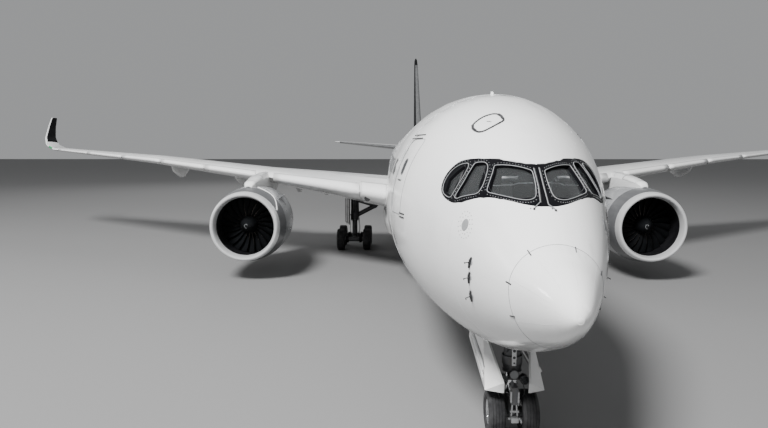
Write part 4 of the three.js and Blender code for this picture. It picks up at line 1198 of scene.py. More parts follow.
for side_name, side in SIDES:
    for key, finish, wall, covers in EDGE_COVERS:
        bm = bmesh.new()
        for cover in covers:
            leading_edge(bm, side, *cover)
        add_thickness(finish_bmesh(f"{side_name}_{key}", bm, finish), wall)
bm = bmesh.new()
leading_edge(bm, 1, *FIN_COVER)
add_thickness(finish_bmesh("fin_edge", bm, "bare_metal"), 0.004)
print("slats", len(SLATS))

# %% [markdown]
# Joint lines on the wing must lie exactly on the solid. Each point of a line is dropped from
# above, or pushed up from below, until it meets the solid's surface, which a bounding volume
# tree finds quickly. A round landing lamp sits in the fixed panel of the leading edge, drawn as a
# near-black disc: painted shade.

# %% Joints, spoilers and lamps of the wings
# two rear corners as x and station, width along the chord
SPOILERS = [
    ((4.3, 33.5), (6.55, 33.5), 1.1), ((6.7, 33.5), (9.3, 33.5), 1.05),
    ((11.1, 33.35), (13.3, 34.4), 0.95), ((13.45, 34.47), (15.7, 35.57), 0.9),
    ((15.85, 35.65), (18.0, 36.7), 0.8), ((18.15, 36.77), (20.3, 37.82), 0.75),
]
SPAR_SHARE, SPAR_SPAN = 0.2, (4.2, 29.4)
BEHIND_SLAT = 0.004
# x, share of the chord on the lower side, and the share that the face is measured from
LAMP_X, LAMP_SHARE, LAMP_FROM = 4.05, 0.021, 0.012
ABOVE_ALL = 14.0


def surface_of(name):
    bm = bmesh.new()
    bm.from_mesh(nodes[name].data)
    tree = BVHTree.FromBMesh(bm)
    bm.free()
    return tree


def drop(tree, x, station, above=True):
    start = at(x, station, ABOVE_ALL if above else 0.0)
    return tree.ray_cast(start, Vector((0, 0, -1 if above else 1)))[0]


def dropped_line(tree, spots, above=True, step=0.35):
    """The line through (x, station) spots, laid on a surface."""
    line = []
    for (x0, s0), (x1, s1) in zip(spots, spots[1:]):
        count = max(1, math.ceil(math.hypot(x1 - x0, s1 - s0) / step))
        line += [drop(tree, x0 + (x1 - x0) * k / count, s0 + (s1 - s0) * k / count, above)
                 for k in range(count)]
    line.append(drop(tree, *spots[-1], above))
    return [point for point in line if point]


def along_wing(tree, share, first, last, count, side, above):
    """A line along the span, at a share of the chord."""
    spots = [on_foil(WING, X, x, share, 0) for x in steps_between(first, last, count)]
    track = [(x * side, station) for x, station, _ in map(drawing_place, spots)]
    return dropped_line(tree, track, above, step=9)


def landing_lamp(bm, side):
    def low_skin(x, share, *gaps):
        return on_foil(WING, X, x, share, -1, side, *gaps)

    here = low_skin(LAMP_X, LAMP_SHARE)
    normal = (low_skin(LAMP_X + 0.1, LAMP_SHARE) - here).cross(
        here - low_skin(LAMP_X, LAMP_FROM)).normalized()
    normal = normal if normal.y < 0 else -normal
    disc(bm, low_skin(LAMP_X, LAMP_SHARE, 0.003, 0.002),
         (normal + Vector((0, -0.9, 0))).normalized(), radius=0.085, thick=0.022, segments=28)


dark_lines, light_lines, lamp_discs = [], [], bmesh.new()
for side_name, side in SIDES:
    tree = surface_of(side_name + "_wing")
    for first, last in SLATS:
        for share, above in ((UPPER_SHARE, True), (LOWER_SHARE, False)):
            dark_lines.append(along_wing(tree, share + BEHIND_SLAT, first, last, 14, side, above))
    for (x0, s0), (x1, s1), width in SPOILERS:
        loop = [(x0, s0), (x1, s1), (x1, s1 - width), (x0, s0 - width), (x0, s0)]
        dark_lines.append(dropped_line(tree, [(x * side, s) for x, s in loop]))
    for above in (True, False):
        light_lines.append(along_wing(tree, SPAR_SHARE, *SPAR_SPAN, 40, side, above))
    landing_lamp(lamp_discs, side)
draw_lines("wing_joints", dark_lines, "seam_grey", radius=0.0058)
draw_lines("wing_panel_lines", light_lines, "seam_light", radius=0.0022)
# The lamps are near-black discs: painted shade under the leading edge
finish_bmesh("landing_lamps", lamp_discs, "dark_seal")
print("joints on the wings", len(dark_lines), len(light_lines))

# %% [markdown]
# The raked tips turn up into short fins. Their inner faces are black, with a white leading
# edge left free. The tip lamps show red on the left and green on the right. Thin wicks on the
# trailing edges lead static charge away.

# %% Tip panels, lamps and wicks
# lower edge and height of the black panel, its first share of the chord and its width
TIP_Z, TIP_RISE, TIP_SHARE, TIP_WIDTH = 7.3, 2.17, 0.09, 0.88
TIP_LAMP_SPAN = (30.45, 30.95)
TIP_LENS = {"left": "red_lens", "right": "green_lens"}
# rows, column, places along it, length in scene metres
WICKS = [
    (WING, X, (28.9, 29.4, 29.9, 30.4, 30.9), 0.07), (WING, Z, (7.6, 8.3, 9.0), 0.06),
    (TAIL, X, (8.7, 8.9, 9.1), 0.06),
]
FIN_WICKS = (FIN, Z, (16.1, 16.4, 16.7), 0.07)


def wick_lines(side, rows, column, places, length):
    roots = [on_foil(rows, column, where, 1, 0, side) for where in places]
    return [[root + Vector((0, -0.01, 0)), root + Vector((0, length, -0.004))]
            for root in roots]


wicks = []
for side_name, side in SIDES:
    black, lamp = bmesh.new(), bmesh.new()
    sheet(black, 14, 12, lambda u, v: on_foil(
        WING, Z, TIP_Z + u * TIP_RISE, TIP_SHARE + v * TIP_WIDTH, 1, side, 0.004),
        Vector((-side, 0, 0)))
    add_thickness(finish_bmesh(side_name + "_tip_panel", black, "black_paint"), 0.003)
    leading_edge(lamp, side, WING, X, TIP_LAMP_SPAN, (0.035, 0.035), 6, lift=0.009)
    add_thickness(finish_bmesh(side_name + "_tip_lamp", lamp, TIP_LENS[side_name]), 0.004)
    for row in WICKS:
        wicks += wick_lines(side, *row)
wicks += wick_lines(1, *FIN_WICKS)
draw_lines("static_wicks", wicks, "dark_seal", radius=0.0028, round_steps=1)
print("wicks", len(wicks))

# %% [markdown]
# Everything round on an engine is turned: a profile of radius and station is swept once about
# the engine's own line. A smooth path through a few table points gives such a profile its
# curves, and a shell is that path with a second one a little inside it.

# %% Turned engine parts
ENGINE_X, ENGINE_Z = 10.2, 2.82
# radius, station
LIP = [
    (1.47, 21.92), (1.482, 21.78), (1.512, 21.64), (1.56, 21.53), (1.62, 21.495), (1.685, 21.54),
    (1.73, 21.65), (1.757, 21.79), (1.77, 21.92),
]
BAND = [(1.772, 21.928), (1.83, 22.2), (1.88, 22.55), (1.91, 22.93)]
FAN_COWL = [(1.912, 22.955), (1.936, 23.4), (1.942, 23.9), (1.925, 24.5), (1.86, 25.52)]
SLEEVE = [(1.857, 25.545), (1.79, 26.05), (1.69, 26.6), (1.58, 27.02), (1.46, 27.4)]
LINER = [
    (1.474, 21.93), (1.51, 22.25), (1.53, 22.6), (1.53, 23.5), (1.585, 24.3), (1.62, 25.0),
    (1.6, 25.9), (1.52, 26.8), (1.43, 27.39),
]
CORE = [
    (0.66, 23.36), (0.84, 23.85), (1.004, 24.5), (1.1, 25.2), (1.124, 25.8), (1.1, 26.5),
    (1.024, 27.2), (0.92, 27.8), (0.805, 28.29),
]
PLUG = [(0.562, 28.03), (0.45, 28.5), (0.28, 29.0), (0.1, 29.46), (0.0, 29.52)]
make_finish(
    "band_paint", (0.10, 0.102, 0.107), (0.075, 0.077, 0.08), (0.3, 0.42), coat=0.2,
    streak=(AIRFLOW, 5.0, (0.14, 0.14, 0.14), 0.4), Coat_Roughness=0.1,
)
# name, path, wall inward, finish, whether it stands for the cowl solid
SHELLS = [
    ("band", path_through(BAND, 5), 0.03, "band_paint", True),
    ("fan_cowl", path_through(FAN_COWL, 5), 0.03, "cowl_paint", True),
    ("sleeve", path_through(SLEEVE, 5), 0.028, "cowl_paint", True),
    ("liner", path_through(LINER, 5), -0.02, "duct_liner", True),
    ("core_cowl", path_through(CORE, 4), 0.03, "hot_metal", False),
    ("plug", path_through(PLUG, 4)[:-1], 0.02, "hot_metal", False),
]


def engine_centre(side):
    """A point on the engine's own line, at station 0."""
    return at(ENGINE_X * side, 0, ENGINE_Z)


def shell(path, inward):
    """A closed profile: the path and its copy with a smaller radius."""
    inner = [(radius - inward, station) for radius, station in reversed(path)]
    return path + inner + [path[0]]


def half_size(profile):
    return [(radius * HALF, along * HALF) for radius, along in profile]


def turned(profile, side, segments=72):
    """A part of one engine; the stations of its profile count from the nose tip."""
    return spun(half_size(profile), engine_centre(side), AFT, segments)


for side_name, side in SIDES:
    lip = path_through(LIP, 5)
    finish_bmesh(side_name + "_lip", turned(lip + [lip[0]], side), "lip_metal",
                 hides=(side_name + "_inlet_lip",))
    for key, path, wall, finish, is_cowl in SHELLS:
        finish_bmesh(f"{side_name}_{key}", turned(shell(path, wall), side), finish,
                     hides=(side_name + "_cowl",) if is_cowl else ())
print("engine parts turned", len(SHELLS) + 1, "on each side")

# %% [markdown]
# The fan has twenty-two wide blades, twisted from hub to tip. One blade is a sheet laid through
# a leading and a trailing edge, given a thickness and then copied round the hub. A swirl on the
# spinner makes it plain to see that the fan is turning. It is white on the real spinner but drawn
# mid grey as painted shade of the inlet, and the blades are near black for the same painted shade.

# %% Fan blades
BLADES = 22
HUB, TIP = 0.4, 1.485
BLADE_STATION = 23.02
BLADE_LEAN, BLADE_TWIST = 30, 34
BLADE_CHORD, BLADE_WIDER = 0.5, 0.14
BLADE_BELLY, BLADE_SWEEP = 0.07, 0.09
LEAST_RADIUS = 0.42


def blade_point(u, v):
    """u runs from hub to tip and v from the leading to the trailing edge."""
    radius = HUB + (TIP - HUB) * u
    lean = math.radians(BLADE_LEAN + BLADE_TWIST * u)
    chord = BLADE_CHORD + BLADE_WIDER * math.sin(math.pi * min(u * 1.1, 1))
    along = (v - 0.5) * chord
    belly = BLADE_BELLY * math.sin(math.pi * v)
    sweep = BLADE_SWEEP * (u - 0.35) ** 2
    around = along * math.sin(lean) + belly * math.cos(lean)
    station = BLADE_STATION + along * math.cos(lean) - belly * math.sin(lean) + sweep
    angle = around / max(radius, LEAST_RADIUS)
    return Vector((radius * math.sin(angle), station, radius * math.cos(angle))) * HALF


def round_the_hub(bm, count, thickness, centre):
    """Gives one plate its thickness and copies it evenly round the engine's line."""
    bmesh.ops.solidify(bm, geom=bm.faces[:], thickness=thickness)
    bmesh.ops.spin(bm, geom=bm.verts[:] + bm.edges[:] + bm.faces[:], cent=(0, 0, 0), axis=AFT,
                   angle=math.tau * (count - 1) / count, steps=count - 1, use_duplicate=True)
    bmesh.ops.translate(bm, verts=bm.verts, vec=centre)
    bmesh.ops.recalc_face_normals(bm, faces=bm.faces)


print("a blade tip at", blade_point(1, 0.5))

# %% Spinner and swirl
# radius, station
SPINNER = [
    (0.0, 22.2), (0.09, 22.212), (0.2, 22.29), (0.33, 22.46), (0.43, 22.7), (0.5, 22.95),
    (0.55, 23.2), (0.562, 23.31),
]
SPINNER_TIP = SPINNER[0][1]
SPINNER_WALL = 0.02
SWIRL_POINTS, SWIRL_TURN = 25, 1.5 * math.pi
SWIRL_START, SWIRL_GROWTH, SWIRL_AHEAD = 0.03, 0.11, 0.006


def spinner_profile():
    hub = shell(path_through(SPINNER, 4)[1:], SPINNER_WALL)
    return [(0, SPINNER_TIP)] + hub[:-1] + [(0, SPINNER_TIP + SPINNER_WALL)]


def swirl_point(share):
    turn, radius = share * SWIRL_TURN, SWIRL_START + SWIRL_GROWTH * share
    station = SPINNER_TIP + SWIRL_AHEAD + 2.5 * (radius - SWIRL_START) * radius
    return Vector((radius * math.cos(turn), station, radius * math.sin(turn))) * HALF


print("the swirl ends at", swirl_point(1))

# %% Both fans
for side_name, side in SIDES:
    rotor = side_name + "_fan_rotor"
    centre = engine_centre(side)
    blades, edges = bmesh.new(), []
    sheet(blades, 12, 8, blade_point, Vector((0, -1, 0)))
    round_the_hub(blades, BLADES, 0.008, centre)
    finish_bmesh(side_name + "_fan_blades", blades, "fan_metal", rotor, (side_name + "_fan",))
    for k in range(BLADES):
        turn = Matrix.Rotation(math.tau * k / BLADES, 3, "Y")
        edges.append([centre + turn @ blade_point(u, 0.0) for u in steps_between(0.02, 0.99, 10)])
    draw_lines(side_name + "_blade_edges", edges, "hot_metal", radius=0.0022, body=rotor)
    finish_bmesh(side_name + "_spinner", turned(spinner_profile(), side, 48), "fan_metal", rotor)
    # The swirl is mid grey rather than white: painted shade of the inlet
    swirl = [centre + swirl_point(share) for share in steps_between(0, 1, SWIRL_POINTS)]
    draw_lines(side_name + "_swirl", [swirl], "seam_grey", radius=0.006, body=rotor,
               round_steps=1)
print("blades", BLADES)

# %% [markdown]
# Behind the fan stand the outlet guide vanes, forty thin plates between the core and the duct
# wall. Outside, each cowl shows the joint lines of its doors, a row of latches along the keel
# and, on the side that faces the cabin, one strake that guides the air over the wing. On the right
# cowl a white line behind its dark band is a painted highlight: light glinting on the glossy cowl.

# %% Vanes, joints, latches and strakes
VANES = 40
# radius of a vane's root, its height, station, chord and belly
VANE_ROOT, VANE_HEIGHT, VANE_STATION, VANE_CHORD, VANE_BELLY = 0.74, 0.82, 23.58, 0.42, 0.05
# station and degrees from the top of the painted highlight on the right engine's cabin side
COWL_GLINT = [(23.26, 12), (23.12, 20), (23.06, 28), (23.02, 36), (22.86, 44), (22.56, 51),
               (22.24, 58), (21.96, 65)]
# radius, station of the joints between band, cowl and sleeve
ROUND_SEAMS = [(1.911, 22.942), (1.859, 25.532)]
LONG_SEAMS = (16, -16, 178, 182)
LATCH_STATIONS = (23.3, 23.9, 24.5, 25.1, 25.9, 26.4)
STRAKE_STATION, STRAKE_LENGTH, STRAKE_HEIGHT, STRAKE_DEGREES = 23.3, 1.15, 0.3, 48


def vane_point(u, v):
    return Vector((VANE_BELLY * math.sin(math.pi * v), VANE_STATION + VANE_CHORD * v,
                   VANE_ROOT + VANE_HEIGHT * u)) * HALF


def round_engine(side, radius, station, degrees):
    """A point round the engine; its angle runs from the top towards the cabin."""
    turn = math.radians(degrees)
    return engine_centre(side) + Vector((-math.sin(turn) * side * radius, station,
                                         math.cos(turn) * radius)) * HALF


def strake_point(side, u, v):
    height = STRAKE_HEIGHT * v * math.sin(math.pi * (0.08 + 0.84 * u**1.6))
    return round_engine(side, 1.93 + height, STRAKE_STATION + STRAKE_LENGTH * u, STRAKE_DEGREES)


def cowl_radius(table, station):
    return foil_row([(s, r) for r, s in table], 0, station)[1]


def cowl_glint_line(side):
    line = []
    for (s0, a0), (s1, a1) in zip(COWL_GLINT, COWL_GLINT[1:]):
        for share in (0, 0.25, 0.5, 0.75):
            station, degrees = s0 + (s1 - s0) * share, a0 + (a1 - a0) * share
            radius = cowl_radius(BAND + FAN_COWL, station) + 0.006
            line.append(round_engine(side, radius, station, degrees))
    return line


seams, latches = [], []
for side_name, side in SIDES:
    vanes, fin = bmesh.new(), bmesh.new()
    sheet(vanes, 5, 4, vane_point, Vector((1, 0, 0)))
    round_the_hub(vanes, VANES, 0.006, engine_centre(side))
    finish_bmesh(side_name + "_guide_vanes", vanes, "bare_metal")
    if side_name == "right":
        # A white line on the cowl: a painted highlight of light glinting along it
        draw_lines("cowl_bright_edge", [cowl_glint_line(side)], "white_paint", radius=0.013,
                   round_steps=1)
    for radius, station in ROUND_SEAMS:
        seams.append([round_engine(side, radius, station, a) for a in range(12, 349, 6)])
    for degrees in LONG_SEAMS:
        rows = path_through(FAN_COWL, 3) + path_through(SLEEVE, 3)
        seams.append([round_engine(side, r + 0.002, station, degrees) for r, station in rows])
    for station in LATCH_STATIONS:
        radius = cowl_radius(FAN_COWL + SLEEVE, station) + 0.004
        latches.append([round_engine(side, radius, station, a) for a in (177, 180, 183)])
    sheet(fin, 8, 3, lambda u, v: strake_point(side, u, v), Vector((side, 0, 1)))
    add_thickness(finish_bmesh(side_name + "_strake", fin, "cowl_paint"), 0.012)
draw_lines("cowl_seams", seams, "dark_seal", radius=0.003)
draw_lines("cowl_latches", latches, "bare_metal", radius=0.009, round_steps=1)
print("cowl lines", len(seams))

# %% [markdown]
# The pylon carries the engine. A thin cap covers its flat top, joint lines cross it, and a
# small hood closes its blunt front above the fan cowl. The hood is dark as painted shade of that
# front face.

# %% Pylons
# station, half width, bottom z, top z
PYLON = [
    (22.75, 0.16, 4.3, 4.8), (23.1, 0.28, 4.3, 5.02), (24.2, 0.34, 4.2, 5.2),
    (25.8, 0.34, 4.1, 5.38), (27.2, 0.34, 4.0, 5.42),
]
CAP_START, CAP_LENGTH, CAP_LIFT = 22.78, 2.2, 0.006
# radius, place along the axis
HOOD = [(0, -0.2), (0.1, -0.17), (0.19, -0.08), (0.24, 0.06), (0.25, 0.3), (0, 0.3)]
PYLON_JOINTS = (23.35, 25.0, 26.3)


def on_pylon(side, station, degrees):
    _, half, bottom, top = foil_row(PYLON, 0, station)
    turn = math.radians(degrees)
    across = math.copysign(abs(math.sin(turn)) ** 0.8, turn)
    return at((ENGINE_X + half * across) * side, station,
              bottom + (top - bottom) * (0.8 + 0.2 * math.cos(turn)))


pylon_lines, hoods = [], bmesh.new()
for side_name, side in SIDES:
    cap = bmesh.new()
    sheet(cap, 18, 14, lambda u, v: on_pylon(side, CAP_START + CAP_LENGTH * u, 180 * v - 90), UP)
    bmesh.ops.translate(cap, verts=cap.verts, vec=(0, 0, CAP_LIFT))
    add_thickness(finish_bmesh(side_name + "_pylon_cap", cap, "white_paint"), 0.01)
    merge_into(hoods, spun(half_size(HOOD), at(ENGINE_X * side, 22.82, 4.6), AFT, 32))
    for station in PYLON_JOINTS:
        pylon_lines.append([on_pylon(side, station, a) + Vector((0, 0, 0.007))
                            for a in steps_between(-88, 88, 10)])
draw_lines("pylon_joints", pylon_lines, "seam_grey", radius=0.003)
# The hoods are dark: painted shade on the pylons' front faces
finish_bmesh("pylon_hoods", hoods, "band_paint")
print("pylon lines", len(pylon_lines))

# %% [markdown]
# A tyre is turned about its axle. Its profile runs from one bead over the bulging side wall to
# the tread, where four grooves are cut, and back. The grooves run all the way round, because
# aircraft tyres shed water but never need to grip in a bend. The wheel inside it has a hollow
# polished dish on both faces, a hub cap, a ring of holes and a ring of tie bolts.

# %% Tyres and wheels
NOSE_AXLE = 5.0
MAIN_X, MAIN_LEG = 5.3, 33.2
MAIN_AXLES = {"front": 32.18, "rear": 34.22}
# radius, half width, bead radius, distance from the middle of the axle
NOSE_WHEEL = (0.525, 0.197, 0.28, 0.3875)
MAIN_WHEEL = (0.7, 0.265, 0.3, 0.8675)
# radius between bead (0) and tread (1), half width as a share
SIDE_WALL = [(0.3, 0.95), (0.58, 1), (0.83, 0.93)]
# radius as a share, half width as a share
SHOULDER = [(0.975, 0.8), (0.994, 0.66)]
GROOVES = (0.5, 0.17, -0.17, -0.5)
GROOVE_DEPTH, GROOVE_WIDTH, GROOVE_FLOOR = 0.014, 0.05, 0.6
# share of the bead radius, share of the half width
HUB_CAP = [(0, 0.8), (0.1, 0.79), (0.3, 0.74), (0.38, 0.66), (0.42, 0.5), (0, 0.5)]
# name, finish, number, ring as a share of the bead, radius, place as a share of the half
# width, sides
BOLT_RINGS = [("holes", "dark_seal", 10, 0.7, 0.022, 0.4, 8),
              ("tie_bolts", "bare_metal", 18, 0.88, 0.012, 0.52, 6)]
BOLT_BEAD = 0.3
# body, x of the axle's middle, station, wheel, names of the right-hand and the left-hand tyre
PAIRS = [("nose_wheel_pair", 0, NOSE_AXLE, NOSE_WHEEL, "nose_tyre_right", "nose_tyre_left")]
for side_name, side in SIDES:
    for key, station in MAIN_AXLES.items():
        tyres = [f"{side_name}_{key}_{place}_tyre" for place in ("inner", "outer")]
        PAIRS.append((f"{side_name}_{key}_wheel_pair", MAIN_X * side, station, MAIN_WHEEL,
                      *tyres[::side]))


def tyre_profile(radius, half, bead):
    wall = path_through([(bead, 0.62 * half), (bead + 0.02, 0.74 * half)]
                        + [(bead + r * (radius - bead), a * half) for r, a in SIDE_WALL]
                        + [(r * radius, a * half) for r, a in SHOULDER], 4)
    width = GROOVE_WIDTH * half
    tread = []
    for place in GROOVES:
        middle = place * half
        crown = radius * (0.9985 if abs(place) > 0.3 else 1)
        bottom = crown - GROOVE_DEPTH
        tread += [(crown, middle + width), (bottom, middle + width * GROOVE_FLOOR),
                  (bottom, middle - width * GROOVE_FLOOR), (crown, middle - width)]
    other = [(r, -a) for r, a in reversed(wall)]
    return wall + tread + other + [wall[0]]


def about_axle(profile, x, station, z, segments, outward=1):
    return spun(half_size(profile), at(x, station, z), Vector((outward, 0, 0)), segments)


def wheel_dish(half, bead):
    """The outer face of a wheel: flange, hollow web and hub."""
    return path_through([
        (bead + 0.028, 0.64 * half), (bead + 0.03, 0.74 * half), (bead + 0.008, 0.76 * half),
        (bead - 0.03, 0.6 * half), (bead * 0.78, 0.36 * half), (bead * 0.6, 0.42 * half),
        (bead * 0.5, 0.62 * half), (bead * 0.42, 0.66 * half),
    ], 4)


def bolt_ring(bm, place, station, wheel, outward, number, ring, size, share, sides):
    radius, half, bead, _ = wheel
    for k in range(number):
        turn = math.tau * k / number
        centre = at(place + share * half * outward, station + ring * bead * math.cos(turn),
                    radius + ring * bead * math.sin(turn))
        disc(bm, centre, Vector((outward, 0, 0)), size * (bead / BOLT_BEAD) * HALF, 0.02, sides)


for body, x, station, wheel, right_tyre, left_tyre in PAIRS:
    radius, half, bead, out = wheel
    dishes, caps = bmesh.new(), bmesh.new()
    rings = [bmesh.new() for _ in BOLT_RINGS]
    for outward, tyre in ((-1, right_tyre), (1, left_tyre)):
        place = x + out * outward
        rubber = about_axle(tyre_profile(radius, half, bead), place, station, radius, 64)
        finish_bmesh(tyre + "_grooved", rubber, "tyre_rubber", body, (tyre,), math.radians(28))
        for way in (outward, -outward):
            merge_into(dishes, about_axle(shell(wheel_dish(half, bead), 0.012), place, station,
                                          radius, 56, way))
        merge_into(caps, about_axle([(r * bead, a * half) for r, a in HUB_CAP], place, station,
                                    radius, 32, outward))
        for bm, (_, _, *row) in zip(rings, BOLT_RINGS):
            bolt_ring(bm, place, station, wheel, outward, *row)
    finish_bmesh(body + "_dishes", dishes, "polished_steel", body)
    finish_bmesh(body + "_hub_caps", caps, "bare_metal", body)
    for bm, (key, finish, *_) in zip(rings, BOLT_RINGS):
        finish_bmesh(f"{body}_{key}", bm, finish, body)
print("wheel pairs", len(PAIRS))

# %% [markdown]
# The nose leg ends in a polished tube that slides in the leg. Two torque links keep the wheels
# from turning round it. Here the small parts are bars and blocks, and a table says where each
# one runs. All of them turn with the wheels when the aircraft steers.

# %% Nose leg
STEERING = "nose_steering_gear"


def bar(bm, first, last, radius, sides=20):
    """A round bar between two drawing points."""
    start, end = at(*first), at(*last)
    bmesh.ops.create_cone(bm, cap_ends=True, segments=sides, radius1=radius * HALF,
                          radius2=radius * HALF, depth=(end - start).length,
                          matrix=facing((start + end) / 2, end - start))


def block(bm, low, high, edge):
    """A box between two corners of the drawing, with rounded edges."""
    cube = bmesh.ops.create_cube(bm, size=1)["verts"]
    middle, size = (at(*low) + at(*high)) / 2, at(*high) - at(*low)
    for vert in cube:
        vert.co = middle + Vector([c * s for c, s in zip(vert.co, size)])
    rounded_edges(bm, cube, edge * HALF)


# piece, finish and its bars (first end, second end, radius, sides)
# and blocks (low corner, high corner, edge)
NOSE_LEG = [
    ("nose_piston", "polished_steel", [(bar, (0, 5, 1.0), (0, 5, 1.55), 0.128, 40)]),
    ("nose_leg_collars", "gear_metal", [
        (bar, (0, 5, 0.93), (0, 5, 1.02), 0.175, 32),
        (bar, (0, 5, 1.545), (0, 5, 1.575), 0.225, 36),
        (bar, (0, 5, 1.66), (0, 5, 1.705), 0.222, 36),
        (bar, (-0.13, 4.98, 0.9), (0.13, 4.98, 0.9), 0.038),
        (bar, (-0.13, 4.98, 1.22), (0.13, 4.98, 1.22), 0.038),
        (bar, (-0.12, 4.63, 1.05), (0.12, 4.63, 1.05), 0.036),
        (bar, (-0.27, 4.9, 0.525), (-0.2511, 4.9, 0.525), 0.15, 28),
        (bar, (0.27, 4.9, 0.525), (0.2511, 4.9, 0.525), 0.15, 28),
        (bar, (-0.3, 4.84, 1.385), (0.3, 4.84, 1.385), 0.028),
    ]),
    ("nose_links", "bare_metal", [
        (block, (-0.107, 4.56, 0.92), (-0.063, 4.7, 1.18), 0.012),
        (block, (0.063, 4.56, 0.92), (0.107, 4.7, 1.18), 0.012),
        (block, (-0.09, 4.49, 0.462), (0.09, 4.72, 0.588), 0.02),
        (bar, (-0.14, 4.62, 0.525), (0.14, 4.62, 0.525), 0.028),
        (bar, (-0.07, 4.6, 0.6), (-0.042, 4.62, 0.9), 0.024, 12),
        (bar, (0.07, 4.6, 0.6), (0.042, 4.62, 0.9), 0.024, 12),
        (bar, (-0.1, 4.6, 0.7), (0.1, 4.6, 0.7), 0.03, 16),
        (block, (-0.055, 4.735, 1.72), (0.055, 4.775, 2.2), 0.015),
    ]),
    ("nose_leg_clamps", "dark_seal", [
        (bar, (0, 4.742, 1.79), (0, 4.728, 1.79), 0.02),
        (bar, (0, 4.742, 1.92), (0, 4.728, 1.92), 0.032),
        (bar, (0, 4.742, 2.08), (0, 4.728, 2.08), 0.036),
    ]),
]
for name, finish, parts in NOSE_LEG:
    bm = bmesh.new()
    for shape, *places in parts:
        shape(bm, *places)
    finish_bmesh(name, bm, finish, STEERING)
print("nose leg dressed")

# %% [markdown]
# A taxi lamp and two side lamps ride on the turning part as well, and hydraulic hoses hang in
# bows beside it. Three more pipes run up the fixed leg into the well. Each hose is a smooth
# path through a few points, tied down at both ends.

# %% Taxi lamps and hoses
LAMP_STATION = 4.7
# radius, place along the axis
LAMP_BODY = path_through([(0.03, 0.16), (0.075, 0.12), (0.1, 0.04), (0.106, -0.005)], 4)
LAMP_WALL = 0.008
# the same in scene metres
LAMP_GLASS = [(0, -0.012), (0.03, -0.011), (0.048, -0.003), (0.049, 0.004), (0, 0.004)]
# x, z, whether it is the taxi lamp in the middle
NOSE_LAMPS = [(0.0, 1.53, True), (-0.24, 1.4, False), (0.24, 1.4, False)]
# x of a hose's ends, how far it bows forward
NOSE_HOSES = [(-0.1, 0.1), (0.1, 0.12), (-0.16, 0.16)]
# x of a pipe's lower end
NOSE_PIPES = (-0.21, 0.21, 0.235)


def hose(places, steps, x=0.0):
    return [at(x + place, station, z) for place, station, z in path_through(places, steps)]


shells, lenses, side_lenses = bmesh.new(), bmesh.new(), bmesh.new()
for x, z, is_middle in NOSE_LAMPS:
    centre = at(x, LAMP_STATION, z)
    merge_into(shells, spun(half_size(shell(LAMP_BODY, LAMP_WALL)), centre, AFT, 32))
    merge_into(lenses if is_middle else side_lenses, spun(LAMP_GLASS, centre, AFT, 32))
bar(shells, (0, 4.78, 1.53), (0, 4.95, 1.56), 0.03)
finish_bmesh("taxi_lamp_shells", shells, "gear_metal", STEERING)
finish_bmesh("taxi_lamp_lens", lenses, "seam_grey", STEERING)
finish_bmesh("side_lamp_lenses", side_lenses, "glass", STEERING)
hoses = [hose([(x, 4.86, 1.52), (x * 1.9, 4.82 - bow, 1.36), (x * 2.3, 4.78 - bow, 1.12),
               (x * 1.6, 4.86, 0.86), (x, 4.9, 0.66)], 6) for x, bow in NOSE_HOSES]
draw_lines("nose_hoses", hoses, "rubber_hose", radius=0.0055, body=STEERING, round_steps=2)
pipes = [hose([(x, 5.02, 2.28), (x * 1.12, 4.98, 2.42), (x * 1.05, 5.0, 2.6),
               (x * 1.4, 5.1, 2.8)], 5) for x in NOSE_PIPES]
draw_lines("nose_leg_pipes", pipes, "rubber_hose", radius=0.0065, round_steps=2)
print("lamps and hoses", len(hoses) + len(pipes))

# %% [markdown]
# The doors of the nose gear and of the main legs keep their solids' shape. A merged copy of
# each is white outside and dark on the face that looks inward, which is painted shade: that face
# lies in the shade under the aircraft. The nose doors carry two long stiffening ridges with
# grooves beside them, and the leg doors a grid of ribs.

# %% Gear doors
# x, station, z
DOOR_RIDGE = [(0.597, 7.57, 1.75), (0.616, 6.7, 1.67), (0.638, 5.44, 1.6), (0.652, 4.98, 1.52)]
RIDGE_RISES, GROOVE_RISES = (0.0, -0.19), (0.1, -0.095)
# front and rear edge of a leg door as x and station, and where its ribs cross
LEG_DOOR = ((5.64, 32.57), (5.98, 33.7))
RIB_SHARES, RIB_HEIGHTS = (0.04, 0.5, 0.96), (1.72, 2.25, 2.8, 3.35, 3.76)
LONG_RIB_HEIGHTS = (1.7, 2.7, 3.78)


def along_door(side, rise):
    return [at(x * side, s, z + rise) for x, s, z in path_through(DOOR_RIDGE, 3)]


def on_leg_door(side, share, z):
    (x0, s0), (x1, s1) = LEG_DOOR
    return at((x0 + (x1 - x0) * share) * side, s0 + (s1 - s0) * share, z)


ridges = [along_door(side, rise) for _, side in SIDES for rise in RIDGE_RISES]
grooves = [along_door(side, rise) for _, side in SIDES for rise in GROOVE_RISES]
draw_lines("nose_door_ridges", ridges, "white_paint", radius=0.024, round_steps=2)
draw_lines("nose_door_grooves", grooves, "seam_grey", radius=0.006, round_steps=1)
ribs = []
for side_name, side in SIDES:
    for node_name in (side_name + "_nose_door", side_name + "_main_leg_door"):
        bm = merged_copy(node_name)
        bmesh.ops.recalc_face_normals(bm, faces=bm.faces)
        door = finish_bmesh(node_name + "_panel", bm, "white_paint", hides=(node_name,)).data
        # The inward faces take a dark colour: painted shade
        door.materials.append(FINISHES["dark_seal"])
        for face in door.polygons:
            if face.normal.x * side < -0.5:
                face.material_index = 1
    ribs += [[on_leg_door(side, share, z) for share in RIB_SHARES] for z in RIB_HEIGHTS]
    ribs += [[on_leg_door(side, share, z) for z in LONG_RIB_HEIGHTS] for share in RIB_SHARES]
print("gear doors dressed, with", len(ribs), "ribs to draw")

